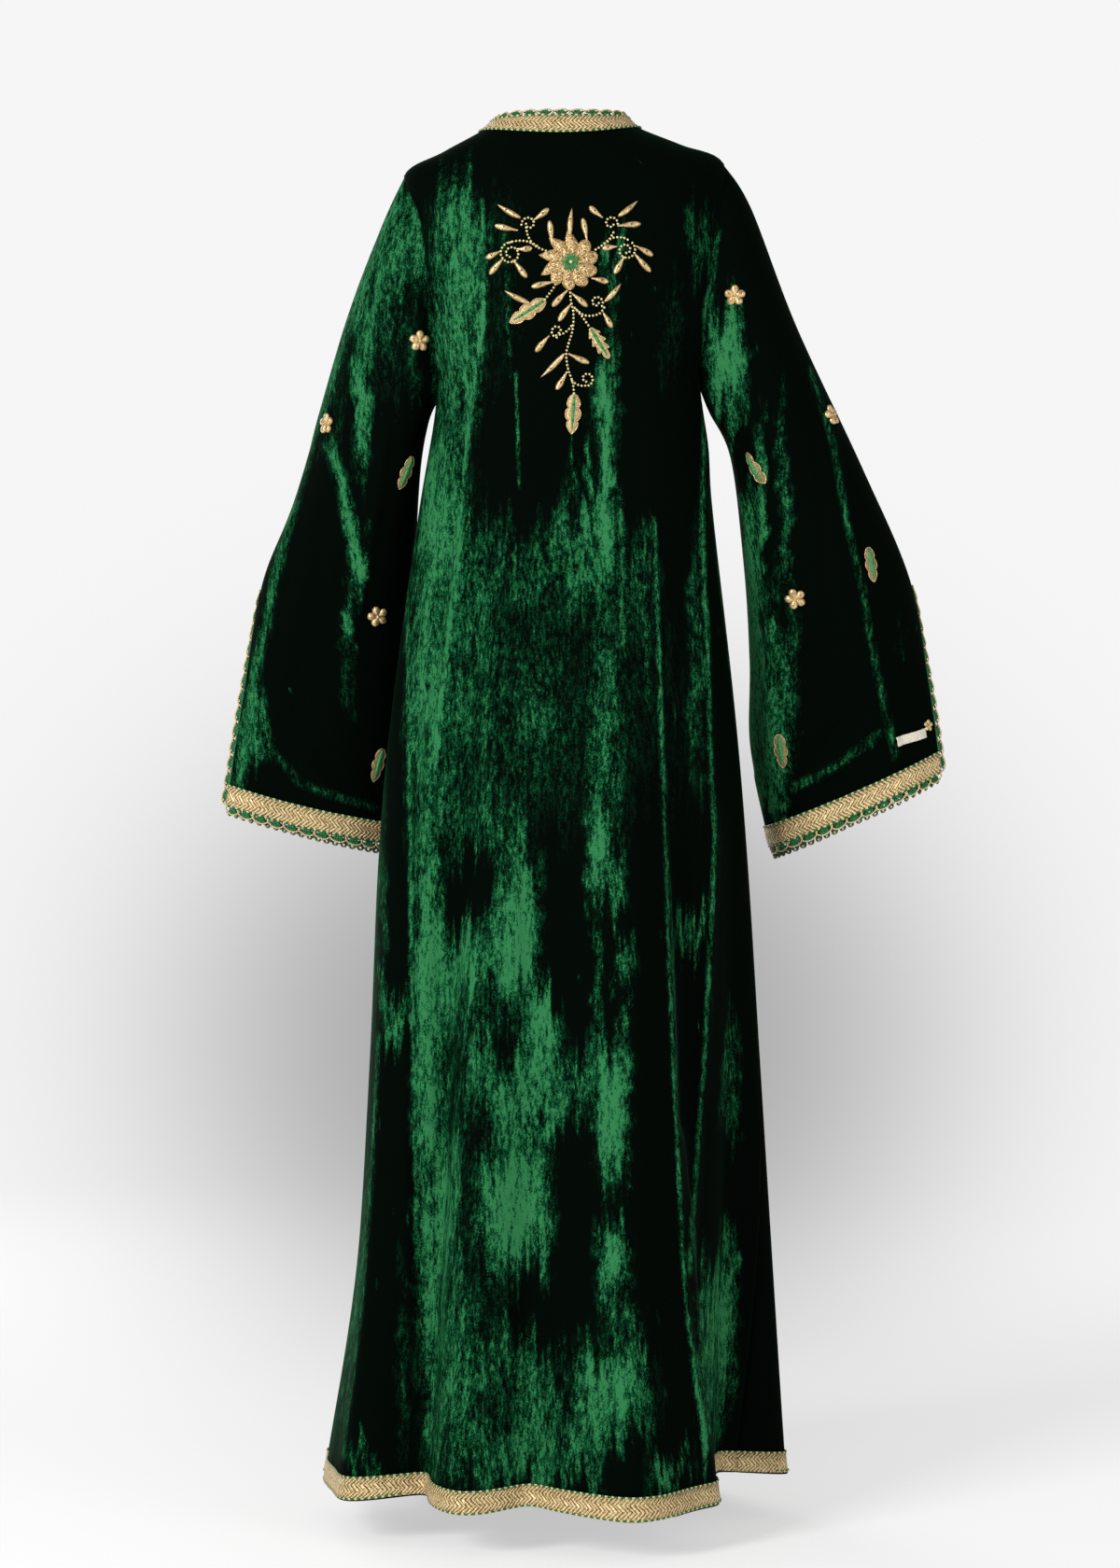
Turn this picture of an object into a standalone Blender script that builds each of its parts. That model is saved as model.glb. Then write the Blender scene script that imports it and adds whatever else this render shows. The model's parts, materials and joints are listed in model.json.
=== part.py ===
"""A long velvet kaftan with wide slit sleeves, gold braids and raised embroidery, as worn.

Metres, +Z up, the front faces -Y and the wearer's left is +X. The origin lies between the two
shoulder seams where they meet the neck. The cloth is made of walls of even thickness through
rings that are worked out from the section and fold tables below.
"""

import math
from collections import namedtuple

import bmesh
import bpy
import numpy as np
from mathutils import Vector
from mathutils.bvhtree import BVHTree

# Cloth and trim thicknesses, and the gap kept between neighbouring pieces
WALL = 0.0020
BRAID = 0.0012
GAP = 0.0003
CORD_GAP = 0.0005
LIFT_STEP = 0.0001
LIFT_TRIES = 12

# Steps that the surface's slopes are measured over, and halvings when a place is searched
ANGLE_STEP = 0.05
POSITION_STEP = 0.01
HALVINGS = 50
LENGTH_SAMPLES = 400
RAY_HEIGHT = 0.03
SHARP_ANGLE = 40.0

# Braid and edging sizes
BRAID_WIDTH = 0.023
EDGING_VALLEY = 0.006
EDGING_PEAK = 0.011
EDGING_PITCH = 0.024
EDGING_STEPS = 3
EDGING_END = 0.0018

# Body sections from the neck down. The heights are for the left side, the right side, the centre
# back and the centre front; the widths run from the middle to each side, the depths to the back
# and the front; roundness is the exponent of the superellipse.
Section = namedtuple("Section", "z_left z_right z_back z_front width_left width_right "
                     "depth_back depth_front roundness")
SECTIONS = {
    "neck_edge": (0.014, 0.018, 0.013, -0.075, 0.079, 0.079, 0.062, 0.088, 2.0),
    "band_foot": (0.003, 0.007, -0.008, -0.096, 0.092, 0.092, 0.076, 0.104, 2.0),
    "mid_shoulder": (-0.021, -0.012, -0.036, -0.125, 0.136, 0.140, 0.093, 0.127, 1.95),
    "shoulder_tip": (-0.047, -0.033, -0.076, -0.155, 0.179, 0.188, 0.104, 0.142, 1.95),
    "upper_armhole": (-0.105, -0.100, -0.120, -0.190, 0.171, 0.194, 0.108, 0.150, 2.25),
    "mid_armhole": (-0.180, -0.176, -0.186, -0.235, 0.163, 0.187, 0.109, 0.156, 2.5),
    "low_armhole": (-0.250, -0.243, -0.250, -0.276, 0.150, 0.172, 0.106, 0.152, 2.5),
    "underarm": (-0.306, -0.290, -0.302, -0.315, 0.142, 0.161, 0.103, 0.146, 2.4),
    "waist": (-0.440, -0.440, -0.440, -0.445, 0.163, 0.176, 0.105, 0.136, 2.3),
    "hip": (-0.653, -0.653, -0.653, -0.660, 0.192, 0.200, 0.130, 0.150, 2.2),
    "thigh": (-0.830, -0.830, -0.830, -0.840, 0.208, 0.215, 0.152, 0.170, 2.2),
    "knee": (-1.060, -1.060, -1.060, -1.075, 0.218, 0.230, 0.178, 0.195, 2.2),
    "shin": (-1.310, -1.310, -1.310, -1.335, 0.234, 0.247, 0.204, 0.226, 2.2),
    "hem_band_top": (-1.515, -1.515, -1.515, -1.552, 0.265, 0.262, 0.224, 0.248, 2.2),
    "hem": (-1.538, -1.538, -1.538, -1.575, 0.269, 0.266, 0.226, 0.250, 2.2),
}
SECTION_NAMES = tuple(SECTIONS)
LAST_SECTION = len(SECTIONS) - 1.0

# Grid rows between two sections, for every span below the underarm
ROWS_BELOW = {"underarm": 2, "waist": 2, "hip": 2, "thigh": 2, "knee": 3, "shin": 3,
              "hem_band_top": 1}
ARMHOLE_STEPS = 10
ARMHOLE_DEPTH_BACK = 0.056
ARMHOLE_DEPTH_FRONT = 0.060

# Folds of the skirt: the angle round the hem (0 is the left side, 90 the centre back), the angle
# where the fold dies out above, its depth at the hem (out is positive), its spread before and
# after its centre in degrees, how flat its bottom is, the height where it begins and how it grows
Fold = namedtuple("Fold", "hem_angle top_angle depth before after flatness z_start growth")
FOLDS = {
    "left_side_ridge": (31.0, 18.0, 0.016, 9.0, 6.0, 2.0, -0.70, 1.0),
    "left_valley": (43.0, 45.0, -0.046, 7.0, 9.0, 2.0, -0.30, 1.2),
    "left_ridge": (66.0, 62.0, 0.022, 9.0, 10.0, 2.0, -0.50, 1.2),
    "middle_valley": (80.0, 82.0, -0.024, 8.0, 8.0, 2.0, -0.70, 1.2),
    "back_ridge": (108.0, 118.0, 0.044, 13.0, 15.0, 2.0, -0.40, 1.0),
    "deep_tuck": (166.0, 152.0, -0.086, 26.0, 17.0, 6.0, -0.55, 1.25),
    "right_front_valley": (212.0, 215.0, -0.030, 9.0, 9.0, 2.0, -0.60, 1.2),
    "right_front_ridge": (236.0, 234.0, 0.020, 9.0, 9.0, 2.0, -0.50, 1.2),
    "front_valley": (254.0, 253.0, -0.018, 7.0, 7.0, 2.0, -0.80, 1.0),
    "left_front_ridge": (303.0, 302.0, 0.022, 9.0, 9.0, 2.0, -0.50, 1.2),
    "left_front_valley": (324.0, 322.0, -0.032, 9.0, 9.0, 2.0, -0.60, 1.2),
    "left_corner_ridge": (344.0, 345.0, 0.012, 7.0, 7.0, 2.0, -0.70, 1.0),
}
HEM_LIFT_PER_DEPTH = 0.12
HEM_LIFT_FROM = "thigh"

# Columns of the panels
BACK_COLUMNS = 28
FRONT_COLUMNS = 14
EVENNESS = 0.75

# Sleeve sections from the armhole ring out to the cuff: the outer and inner edges, the middle of
# the section front to back, its half depth, the width of the slit there and the sag of the cloth
SleeveSection = namedtuple("SleeveSection", "outer_x outer_z inner_x inner_z centre_y "
                           "half_depth slit sag")
SLEEVE_LEFT = {
    "armhole": (0.179, -0.047, 0.142, -0.306, 0.000, 0.056, 0.000, 0.000),
    "cap": (0.205, -0.105, 0.151, -0.330, -0.003, 0.063, 0.000, 0.000),
    "upper": (0.2485, -0.216, 0.161, -0.385, -0.026, 0.069, 0.000, 0.000),
    "elbow": (0.308, -0.407, 0.169, -0.500, -0.072, 0.068, 0.000, 0.002),
    "slit_start": (0.3495, -0.511, 0.173, -0.600, -0.105, 0.064, 0.000, 0.003),
    "forearm": (0.370, -0.630, 0.177, -0.700, -0.130, 0.062, 0.042, 0.004),
    "band_top": (0.3885, -0.744, 0.1815, -0.792, -0.150, 0.060, 0.058, 0.006),
    "cuff": (0.392, -0.767, 0.182, -0.815, -0.153, 0.060, 0.060, 0.006),
}
SLEEVE_RIGHT = {
    "armhole": (0.188, -0.033, 0.161, -0.290, 0.000, 0.056, 0.000, 0.000),
    "cap": (0.219, -0.083, 0.171, -0.317, -0.002, 0.063, 0.000, 0.000),
    "upper": (0.272, -0.219, 0.196, -0.370, -0.010, 0.068, 0.000, 0.000),
    "elbow": (0.349, -0.377, 0.212, -0.490, -0.040, 0.070, 0.000, 0.002),
    "slit_start": (0.407, -0.507, 0.2195, -0.600, -0.065, 0.068, 0.000, 0.002),
    "forearm": (0.4275, -0.618, 0.221, -0.700, -0.085, 0.064, 0.038, 0.003),
    "band_top": (0.4405, -0.706, 0.240, -0.794, -0.099, 0.058, 0.052, 0.004),
    "cuff": (0.443, -0.729, 0.246, -0.817, -0.101, 0.057, 0.055, 0.004),
}
SLEEVE_ROWS = (0.0, 0.5, 1.0, 1.5, 2.0, 2.5, 3.0, 3.5, 4.0, 4.5, 5.0, 5.5, 6.0, 7.0)
SLEEVE_SLIT_ROW = 8
SLEEVE_BAND_ROW = 12
ARMHOLE_DRIFT = 0.45
ARMHOLE_RISE = 0.9
SHOULDER_DROP = -0.5

# Folds of the sleeves: angle round the tube (0 is the outer edge, 90 the back), depth at the
# cuff, spread in degrees and the row position where the fold begins
SleeveFold = namedtuple("SleeveFold", "angle depth spread start")
SLEEVE_FOLDS_LEFT = {
    "back_hollow": (75.0, -0.006, 20.0, 2.0),
    "back_ridge": (118.0, 0.007, 20.0, 2.5),
    "front_hollow": (262.0, -0.006, 22.0, 2.5),
}
SLEEVE_FOLDS_RIGHT = {
    "back_ridge": (62.0, 0.009, 18.0, 3.5),
    "back_hollow": (98.0, -0.007, 18.0, 2.5),
    "inner_pleat": (152.0, 0.008, 14.0, 3.0),
    "front_hollow": (262.0, -0.006, 22.0, 2.5),
}

# Front buttons
BUTTON_COUNT = 7
BUTTON_RADIUS = 0.0055
BUTTON_TOP_Z = -0.142
BUTTON_STEP = 0.056
BUTTON_SEAT_REACHES = (0.1, 0.25)
BUTTON_SETTLES = 6

# Small appliques on the sleeves, at the X and Z of their middles on the back face, with the lean
# of their long axis from straight down, in degrees
FLOWER_RADIUS = 0.0135
SMALL_PETALS = 5
SMALL_PETAL_RADII = (0.62, 1.0)
SMALL_FLOWER_RINGS = ((1.0, 0.45), (0.55, 1.0))
Place = namedtuple("Place", "x z lean")
FLOWER_PLACES = {
    "flower_left_1": (0.159, -0.242, 0.0),
    "flower_left_2": (0.268, -0.330, 0.0),
    "flower_left_3": (0.211, -0.550, 20.0),
    "flower_right_1": (-0.198, -0.191, 0.0),
    "flower_right_2": (-0.312, -0.3216, 10.0),
    "flower_right_3": (-0.2694, -0.532, 20.0),
}
LEAF_LENGTH = 0.040
LEAF_WIDTH = 0.014
LEAF_LOBES = 3
LEAF_ROOT = 0.12
LEAF_FULLNESS = 0.6
LEAF_NOTCH = 0.72
LEAF_TIP = 0.08
LEAF_PLACES = {
    "leaf_left_1": (0.1765, -0.388, -12.0),
    "leaf_left_2": (0.213, -0.722, -10.0),
    "leaf_right_1": (-0.221, -0.385, 22.0),
    "leaf_right_2": (-0.3567, -0.4925, 12.0),
    "leaf_right_3": (-0.2558, -0.706, 4.0),
}
APPLIQUE_HEIGHT = 0.0026
LABEL_PLACE = (-0.404, -0.690, 14.0)
LABEL_SIZE = (0.040, 0.011)
LABEL_COLUMNS = 5
RIBBON_FLOWER_PLACE = (-0.4275, -0.676, 0.0)
RIBBON_FLOWER_RADIUS = 0.007

# Back motif, in millimetres from the middle of its flower: to the right as seen, up, and out
MOTIF_X = -0.0121
MOTIF_Z = -0.159
MILLIMETRE = 0.001
MOTIF_FLOWER_RADIUS = 32.0
MOTIF_PETALS = 9
MOTIF_PETAL_RADII = (0.78, 1.0)
MOTIF_FLOWER_RINGS = ((1.0, 0.4), (0.62, 0.85))
FLAT_ANGLE = 1.0
MOTIF_MERGE = 0.001
Drop = namedtuple("Drop", "across up angle length")
DROPS = (
    (-56, 50, 155, 31), (-42, 47, 34, 22), (-59, 36, 169, 27), (-61, 15, -2, 18),
    (-79, 13, -152, 18), (-75, 5, -135, 24), (-65, 3, -50, 26), (-21, 19, 94, 28),
    (-1, 29, 92, 32), (18, 24, 98, 26), (36, 50, 143, 20), (53, 52, 33, 29),
    (52, 41, 9, 27), (52, 18, -174, 17), (73, 19, -25, 22), (71, 11, -50, 28),
    (60, 7, -117, 23), (-18, -22, -170, 27), (23, -18, -9, 20), (-3, -31, -136, 26),
    (1, -35, -37, 23), (1, -46, -129, 25), (-46, -46, 159, 32), (38, -44, 41, 28),
    (36, -56, -56, 20), (-24, -82, -133, 24), (-7, -102, -130, 38), (-3, -102, -26, 26),
    (-4, -122, -118, 24),
)
MOTIF_LEAVES = (
    (-29, -43, -148, 46), (22, -74, -58, 39), (4, -148, -94, 44),
)
DROP_WIDTH = 5.6
DropRing = namedtuple("DropRing", "run swell")
DROP_PROFILE = (DropRing(0.0, 0.35), DropRing(0.3, 1.0), DropRing(0.65, 0.8), DropRing(1.0, 0.15))
MOTIF_LEAF_WIDTH = 15.0
STEM_WIDTH = 2.4
STALK_WIDTH = 1.4
STEM_HEIGHT = 1.4
STALK_HEIGHT = 1.1
DROP_HEIGHT = 2.2
DROP_ROOT = 3.0
MOTIF_LEAF_HEIGHT = 2.4
MOTIF_FLOWER_HEIGHT = 3.4
STEMS = {
    "main": ((-1, -20), (0, -42), (3, -57), (2, -76), (-3, -93), (-5, -104), (-3, -119),
             (2, -134), (4, -152)),
    "left_arm": ((-20, 8), (-34, 15), (-42, 24), (-44, 36)),
    "left_low": ((-36, 17), (-48, 22), (-57, 20)),
    "right_arm": ((20, 10), (31, 18), (38, 28), (41, 38)),
    "right_low": ((33, 20), (44, 26), (54, 24)),
    "left_leaf": ((-8, -18), (-20, -32), (-31, -44)),
    "right_leaf": ((3, -50), (12, -62), (23, -76)),
    "right_curl": ((9, -58), (18, -60), (24, -52)),
    "left_curl": ((2, -67), (-4, -74), (-8, -77)),
    "low_curl": ((0, -131), (8, -134), (13, -132)),
}
Curl = namedtuple("Curl", "across up radius")
CURLS = (
    (-50, 45, 9.0), (-67, 13, 11.0), (46, 46, 8.0), (63, 18, 10.0), (30, -45, 8.0),
    (-15, -79, 8.0), (19, -129, 7.0),
)
CURL_STEPS = 9

# Colours as measured from the cloth and threads, with roughness and metallic
FINISHES = {
    "velvet": ((0.004, 0.060, 0.018), 0.85, 0.0),
    "gold_braid": ((0.560, 0.380, 0.160), 0.45, 0.6),
    "edging": ((0.020, 0.180, 0.060), 0.60, 0.0),
    "gold_thread": ((0.620, 0.420, 0.190), 0.35, 0.8),
    "button": ((0.500, 0.340, 0.140), 0.50, 0.5),
    "ribbon": ((0.780, 0.720, 0.600), 0.70, 0.0),
}


def clear_scene() -> None:
    """Remove whatever the opened file holds."""
    for item in list(bpy.data.objects):
        bpy.data.objects.remove(item, do_unlink=True)


def make_material(name: str) -> bpy.types.Material:
    """Return the Principled material of one finish."""
    colour, roughness, metallic = FINISHES[name]
    material = bpy.data.materials.get(name) or bpy.data.materials.new(name)
    material.use_nodes = True
    shader = material.node_tree.nodes["Principled BSDF"]
    shader.inputs["Base Color"].default_value = (*colour, 1.0)
    shader.inputs["Roughness"].default_value = roughness
    shader.inputs["Metallic"].default_value = metallic
    return material


def add_object(name: str, vertices: list, faces: list, finish: str) -> bpy.types.Object:
    """Make one closed, outward-facing named object from vertices and faces."""
    mesh = bpy.data.meshes.new(name)
    mesh.from_pydata([tuple(v) for v in vertices], [], faces)
    work = bmesh.new()
    work.from_mesh(mesh)
    bmesh.ops.triangulate(work, faces=[f for f in work.faces if len(f.verts) > 3])
    bmesh.ops.recalc_face_normals(work, faces=work.faces)
    work.to_mesh(mesh)
    work.free()
    item = bpy.data.objects.new(name, mesh)
    item.data.materials.append(make_material(finish))
    bpy.context.collection.objects.link(item)
    mesh.shade_smooth()
    mesh.set_sharp_from_angle(angle=math.radians(SHARP_ANGLE))
    return item


def unit(vector: np.ndarray) -> np.ndarray:
    """Return the vector at length one."""
    return vector / np.linalg.norm(vector)


def smooth_rows(table: dict, position: float) -> np.ndarray:
    """Read a table of sections at a fractional row, through a Catmull-Rom curve."""
    rows = np.array(list(table.values()))
    index = min(int(position), len(rows) - 2)
    share = position - index
    before = rows[max(index - 1, 0)]
    start = rows[index]
    end = rows[index + 1]
    after = rows[min(index + 2, len(rows) - 1)]
    return 0.5 * (2.0 * start + (end - before) * share
                  + (2.0 * before - 5.0 * start + 4.0 * end - after) * share ** 2
                  + (3.0 * start - before - 3.0 * end + after) * share ** 3)


def fold_offset(angle: float, z: float) -> float:
    """Return how far the folds move the cloth out at an angle in degrees and a height."""
    total = 0.0
    hem_z = SECTIONS["hem"][0]
    for row in FOLDS.values():
        fold = Fold(*row)
        if z >= fold.z_start:
            continue
        share = min((fold.z_start - z) / (fold.z_start - hem_z), 1.0)
        centre = fold.top_angle + (fold.hem_angle - fold.top_angle) * share
        turn = (angle - centre + 180.0) % 360.0 - 180.0
        spread = fold.before if turn < 0.0 else fold.after
        shape = math.exp(-(abs(turn) / spread) ** fold.flatness)
        total += fold.depth * share ** fold.growth * shape
    return total


def body_point(theta: float, position: float) -> np.ndarray:
    """Return the body's outer surface at an angle in degrees and a section position."""
    section = Section(*smooth_rows(SECTIONS, position))
    cosine = math.cos(math.radians(theta))
    sine = math.sin(math.radians(theta))
    width = section.width_left if cosine > 0.0 else section.width_right
    depth = section.depth_back if sine > 0.0 else section.depth_front
    x = math.copysign(width * abs(cosine) ** (2.0 / section.roundness), cosine)
    y = math.copysign(depth * abs(sine) ** (2.0 / section.roundness), sine)
    z_mean = 0.5 * (section.z_left + section.z_right)
    z_side = z_mean + (section.z_left - z_mean) * cosine
    z_middle = section.z_back if sine > 0.0 else section.z_front
    z = z_side * cosine ** 2 + z_middle * sine ** 2
    radius = math.hypot(x, y)
    offset = fold_offset(math.degrees(math.atan2(y, x)) % 360.0, z)
    scale = (radius + offset) / radius
    lift_from = SECTION_NAMES.index(HEM_LIFT_FROM)
    share = max(0.0, (position - lift_from) / (LAST_SECTION - lift_from))
    return np.array([x * scale, y * scale, z - HEM_LIFT_PER_DEPTH * offset * share])


def body_frame(theta: float, position: float) -> tuple:
    """Return a point and the outward normal of the body surface."""
    below = min(position + POSITION_STEP, LAST_SECTION)
    above = max(position - POSITION_STEP, 0.0)
    point = body_point(theta, position)
    round_way = body_point(theta + ANGLE_STEP, position) - body_point(theta - ANGLE_STEP, position)
    down_way = body_point(theta, below) - body_point(theta, above)
    return point, unit(np.cross(down_way, round_way))


def mean_side_height(position: float) -> float:
    """Return the height of the side line at a section position, between left and right."""
    section = Section(*smooth_rows(SECTIONS, position))
    return 0.5 * (section.z_left + section.z_right)


def position_at_height(z: float) -> float:
    """Return the section position whose side line lies at a height."""
    low = 0.0
    high = LAST_SECTION
    for _ in range(HALVINGS):
        middle = 0.5 * (low + high)
        if mean_side_height(middle) > z:
            low = middle
        else:
            high = middle
    return 0.5 * (low + high)


def row_positions() -> tuple:
    """Return the section positions of all grid rows, and the rows of tip and underarm."""
    tip = float(SECTION_NAMES.index("shoulder_tip"))
    underarm = float(SECTION_NAMES.index("underarm"))
    rows = [0.0, 1.0, 1.5, 2.0, 2.5, tip]
    tip_row = len(rows) - 1
    top_z = mean_side_height(tip)
    low_z = mean_side_height(underarm)
    for step in range(1, ARMHOLE_STEPS):
        drop = 0.5 - 0.5 * math.cos(math.pi * step / ARMHOLE_STEPS)
        rows.append(position_at_height(top_z + (low_z - top_z) * drop))
    rows.append(underarm)
    underarm_row = len(rows) - 1
    for name, count in ROWS_BELOW.items():
        start = SECTION_NAMES.index(name)
        rows.extend(start + (step + 1.0) / count for step in range(count))
    return rows, tip_row, underarm_row


def armhole_angle(position: float, row: int, rows: tuple, back: bool) -> float:
    """Return how far the armhole's edge lies from the side line, in degrees, at a row."""
    _, tip_row, underarm_row = rows
    if row <= tip_row or row >= underarm_row:
        return 0.0
    section = Section(*smooth_rows(SECTIONS, position))
    depth = section.depth_back if back else section.depth_front
    reach = ARMHOLE_DEPTH_BACK if back else ARMHOLE_DEPTH_FRONT
    reach *= math.sin(math.pi * (row - tip_row) / ARMHOLE_STEPS)
    return math.degrees(math.asin((reach / depth) ** (section.roundness / 2.0)))


def length_shares(start: float, end: float, count: int) -> list:
    """Share an angle range into columns of nearly even length round the hem."""
    angles = np.linspace(start, end, LENGTH_SAMPLES + 1)
    points = np.array([body_point(angle, LAST_SECTION) for angle in angles])
    run = np.concatenate([[0.0], np.cumsum(np.linalg.norm(np.diff(points, axis=0), axis=1))])
    even = np.interp(np.linspace(0.0, run[-1], count + 1), run, angles)
    plain = np.linspace(start, end, count + 1)
    mixed = EVENNESS * even + (1.0 - EVENNESS) * plain
    return list((mixed - start) / (end - start))


def centre_front_angle(position: float, side: float, reach: float) -> float:
    """Return the angle on the front where the surface lies a given reach from the middle."""
    low = 0.0
    high = 60.0
    for _ in range(HALVINGS):
        middle = 0.5 * (low + high)
        if abs(body_point(270.0 + side * middle, position)[0]) < reach:
            low = middle
        else:
            high = middle
    return 270.0 + side * 0.5 * (low + high)


class Grid:
    """A patch of cloth: outer points, normals and the two directions at each grid point."""

    def __init__(self, rows: int, columns: int) -> None:
        self.points = np.zeros((rows, columns, 3))
        self.normals = np.zeros((rows, columns, 3))

    def part(self, rows: slice, columns: slice) -> "Grid":
        """Return a copy of some rows and columns."""
        points = self.points[rows, columns].copy()
        patch = Grid(points.shape[0], points.shape[1])
        patch.points = points
        patch.normals = self.normals[rows, columns].copy()
        return patch

    def trim(self, top: float, bottom: float, left: float, right: float) -> "Grid":
        """Pull the four edges in by the given lengths."""
        edges = ((self.points[0], self.points[1], top),
                 (self.points[-1], self.points[-2], bottom),
                 (self.points[:, 0], self.points[:, 1], left),
                 (self.points[:, -1], self.points[:, -2], right))
        for edge, inside, length in edges:
            way = inside - edge
            edge += way * (length / np.linalg.norm(way, axis=1))[:, None]
        return self


def sheet_faces(rows: int, columns: int, welded_rows: int = 0) -> tuple:
    """Return a closed sheet's faces; the first welded rows join their two end columns."""
    def number(row: int, column: int, layer: int) -> int:
        if row < welded_rows and column == columns - 1:
            column = 0
        return (layer * rows + row) * columns + column

    faces = []
    for row in range(rows - 1):
        for column in range(columns - 1):
            for layer in (0, 1):
                quad = [number(row, column, layer), number(row, column + 1, layer),
                        number(row + 1, column + 1, layer), number(row + 1, column, layer)]
                faces.append(quad if layer == 0 else quad[::-1])
    for column in range(columns - 1):
        for row in (0, rows - 1):
            faces.append([number(row, column, 0), number(row, column + 1, 0),
                          number(row, column + 1, 1), number(row, column, 1)])
    for row in range(max(welded_rows - 1, 0), rows - 1):
        for column in (0, columns - 1):
            faces.append([number(row, column, 0), number(row + 1, column, 0),
                          number(row + 1, column, 1), number(row, column, 1)])
    return faces


def add_sheet(name: str, outer: np.ndarray, inner: np.ndarray, finish: str,
              welded_rows: int = 0) -> bpy.types.Object:
    """Make a closed sheet between two layers of grid points."""
    rows, columns = outer.shape[:2]
    vertices = list(outer.reshape(-1, 3)) + list(inner.reshape(-1, 3))
    faces = sheet_faces(rows, columns, welded_rows)
    used = sorted({index for face in faces for index in face})
    place = {old: new for new, old in enumerate(used)}
    faces = [[place[index] for index in face] for face in faces]
    return add_object(name, [vertices[index] for index in used], faces, finish)


def add_braid(name: str, patch: Grid) -> None:
    """Make a braid that lies on a patch of cloth, a gap above it."""
    inner = patch.points + patch.normals * GAP
    add_sheet(name, inner + patch.normals * BRAID, inner, "gold_braid")


def panel_angles(name: str, row: int, rows: tuple, shares: list) -> list:
    """Return the angles of a panel's columns at a row, inside its armholes."""
    position = rows[0][row]
    cut = armhole_angle(position, row, rows, name == "back")
    if name == "back":
        return [cut + (180.0 - 2.0 * cut) * share for share in shares]
    band_reach = BRAID_WIDTH + 0.5 * GAP
    if name == "front_right":
        first = 180.0 + cut
        band = centre_front_angle(position, -1.0, band_reach)
        return [first + (band - first) * share for share in shares] + [270.0]
    band = centre_front_angle(position, 1.0, band_reach)
    return [270.0] + [band + (360.0 - cut - band) * share for share in shares]


def build_panels(rows: tuple) -> dict:
    """Make the back and the two front panels and return their grids."""
    spans = {"back": (0.0, 180.0, BACK_COLUMNS), "front_right": (180.0, 270.0, FRONT_COLUMNS - 1),
             "front_left": (270.0, 360.0, FRONT_COLUMNS - 1)}
    grids = {}
    for name, (start, end, count) in spans.items():
        shares = length_shares(start, end, count)
        angles = [panel_angles(name, row, rows, shares) for row in range(len(rows[0]))]
        grid = Grid(len(angles), len(angles[0]))
        for row, position in enumerate(rows[0]):
            for column, theta in enumerate(angles[row]):
                grid.points[row, column], grid.normals[row, column] = body_frame(theta, position)
        grids[name] = grid.trim(0.0, 0.0, 0.5 * GAP, 0.5 * GAP)
        add_sheet(name + "_panel", grid.points, grid.points - grid.normals * WALL, "velvet")
    return grids


def armhole_ring(grids: dict, rows: tuple, left: bool) -> list:
    """Return one armhole's edge points with normal and inner neighbour, from the tip backwards."""
    _, tip_row, underarm_row = rows
    back_column = 0 if left else -1
    front = grids["front_left" if left else "front_right"]
    front_column = -1 if left else 0
    back_rows = range(tip_row, underarm_row + 1)
    ring = []
    for row in back_rows:
        ring.append((grids["back"].points[row, back_column],
                     grids["back"].normals[row, back_column],
                     grids["back"].points[row, 1 if left else -2]))
    for row in reversed(range(tip_row, underarm_row)):
        ring.append((front.points[row, front_column], front.normals[row, front_column],
                     front.points[row, -2 if left else 1]))
    return ring


def sleeve_grid(table: dict, folds: dict, side: float) -> Grid:
    """Return a sleeve's outer points through its sections, before the armhole is fitted."""
    columns = 2 * ARMHOLE_STEPS + 1
    grid = Grid(len(SLEEVE_ROWS), columns)
    for row, position in enumerate(SLEEVE_ROWS):
        section = SleeveSection(*smooth_rows(table, position))
        slit = section.slit if row > SLEEVE_SLIT_ROW else 0.0
        opening = math.asin(0.5 * slit / section.half_depth)
        outer = np.array([side * section.outer_x, section.centre_y, section.outer_z])
        inner = np.array([side * section.inner_x, section.centre_y, section.inner_z])
        reach = (outer - inner) / (1.0 + math.cos(opening))
        middle = inner + reach
        for column in range(columns):
            turn = opening + (2.0 * math.pi - 2.0 * opening) * column / (columns - 1)
            depth = section.half_depth + sleeve_fold(math.degrees(turn), position, folds)
            point = middle + reach * math.cos(turn)
            point[1] += depth * math.sin(turn)
            point[2] -= section.sag * math.sin(turn) ** 2
            grid.points[row, column] = point
    return grid


def sleeve_fold(angle: float, position: float, folds: dict) -> float:
    """Return how far a sleeve's folds move its cloth at an angle and a section position."""
    last = len(SLEEVE_LEFT) - 1.0
    total = 0.0
    for row in folds.values():
        fold = SleeveFold(*row)
        if position > fold.start:
            share = (position - fold.start) / (last - fold.start)
            total += fold.depth * share * math.exp(-((angle - fold.angle) / fold.spread) ** 2)
    return total


def grid_normals(points: np.ndarray, side: float, welded_rows: int) -> np.ndarray:
    """Return outward normals of a sleeve's grid from its neighbouring points."""
    along = np.gradient(points, axis=0)
    around = np.gradient(points, axis=1)
    seam = points[:welded_rows, 1] - points[:welded_rows, -2]
    around[:welded_rows, 0] = 0.5 * seam
    around[:welded_rows, -1] = 0.5 * seam
    normals = side * np.cross(along, around)
    return normals / np.linalg.norm(normals, axis=2)[:, :, None]


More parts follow.
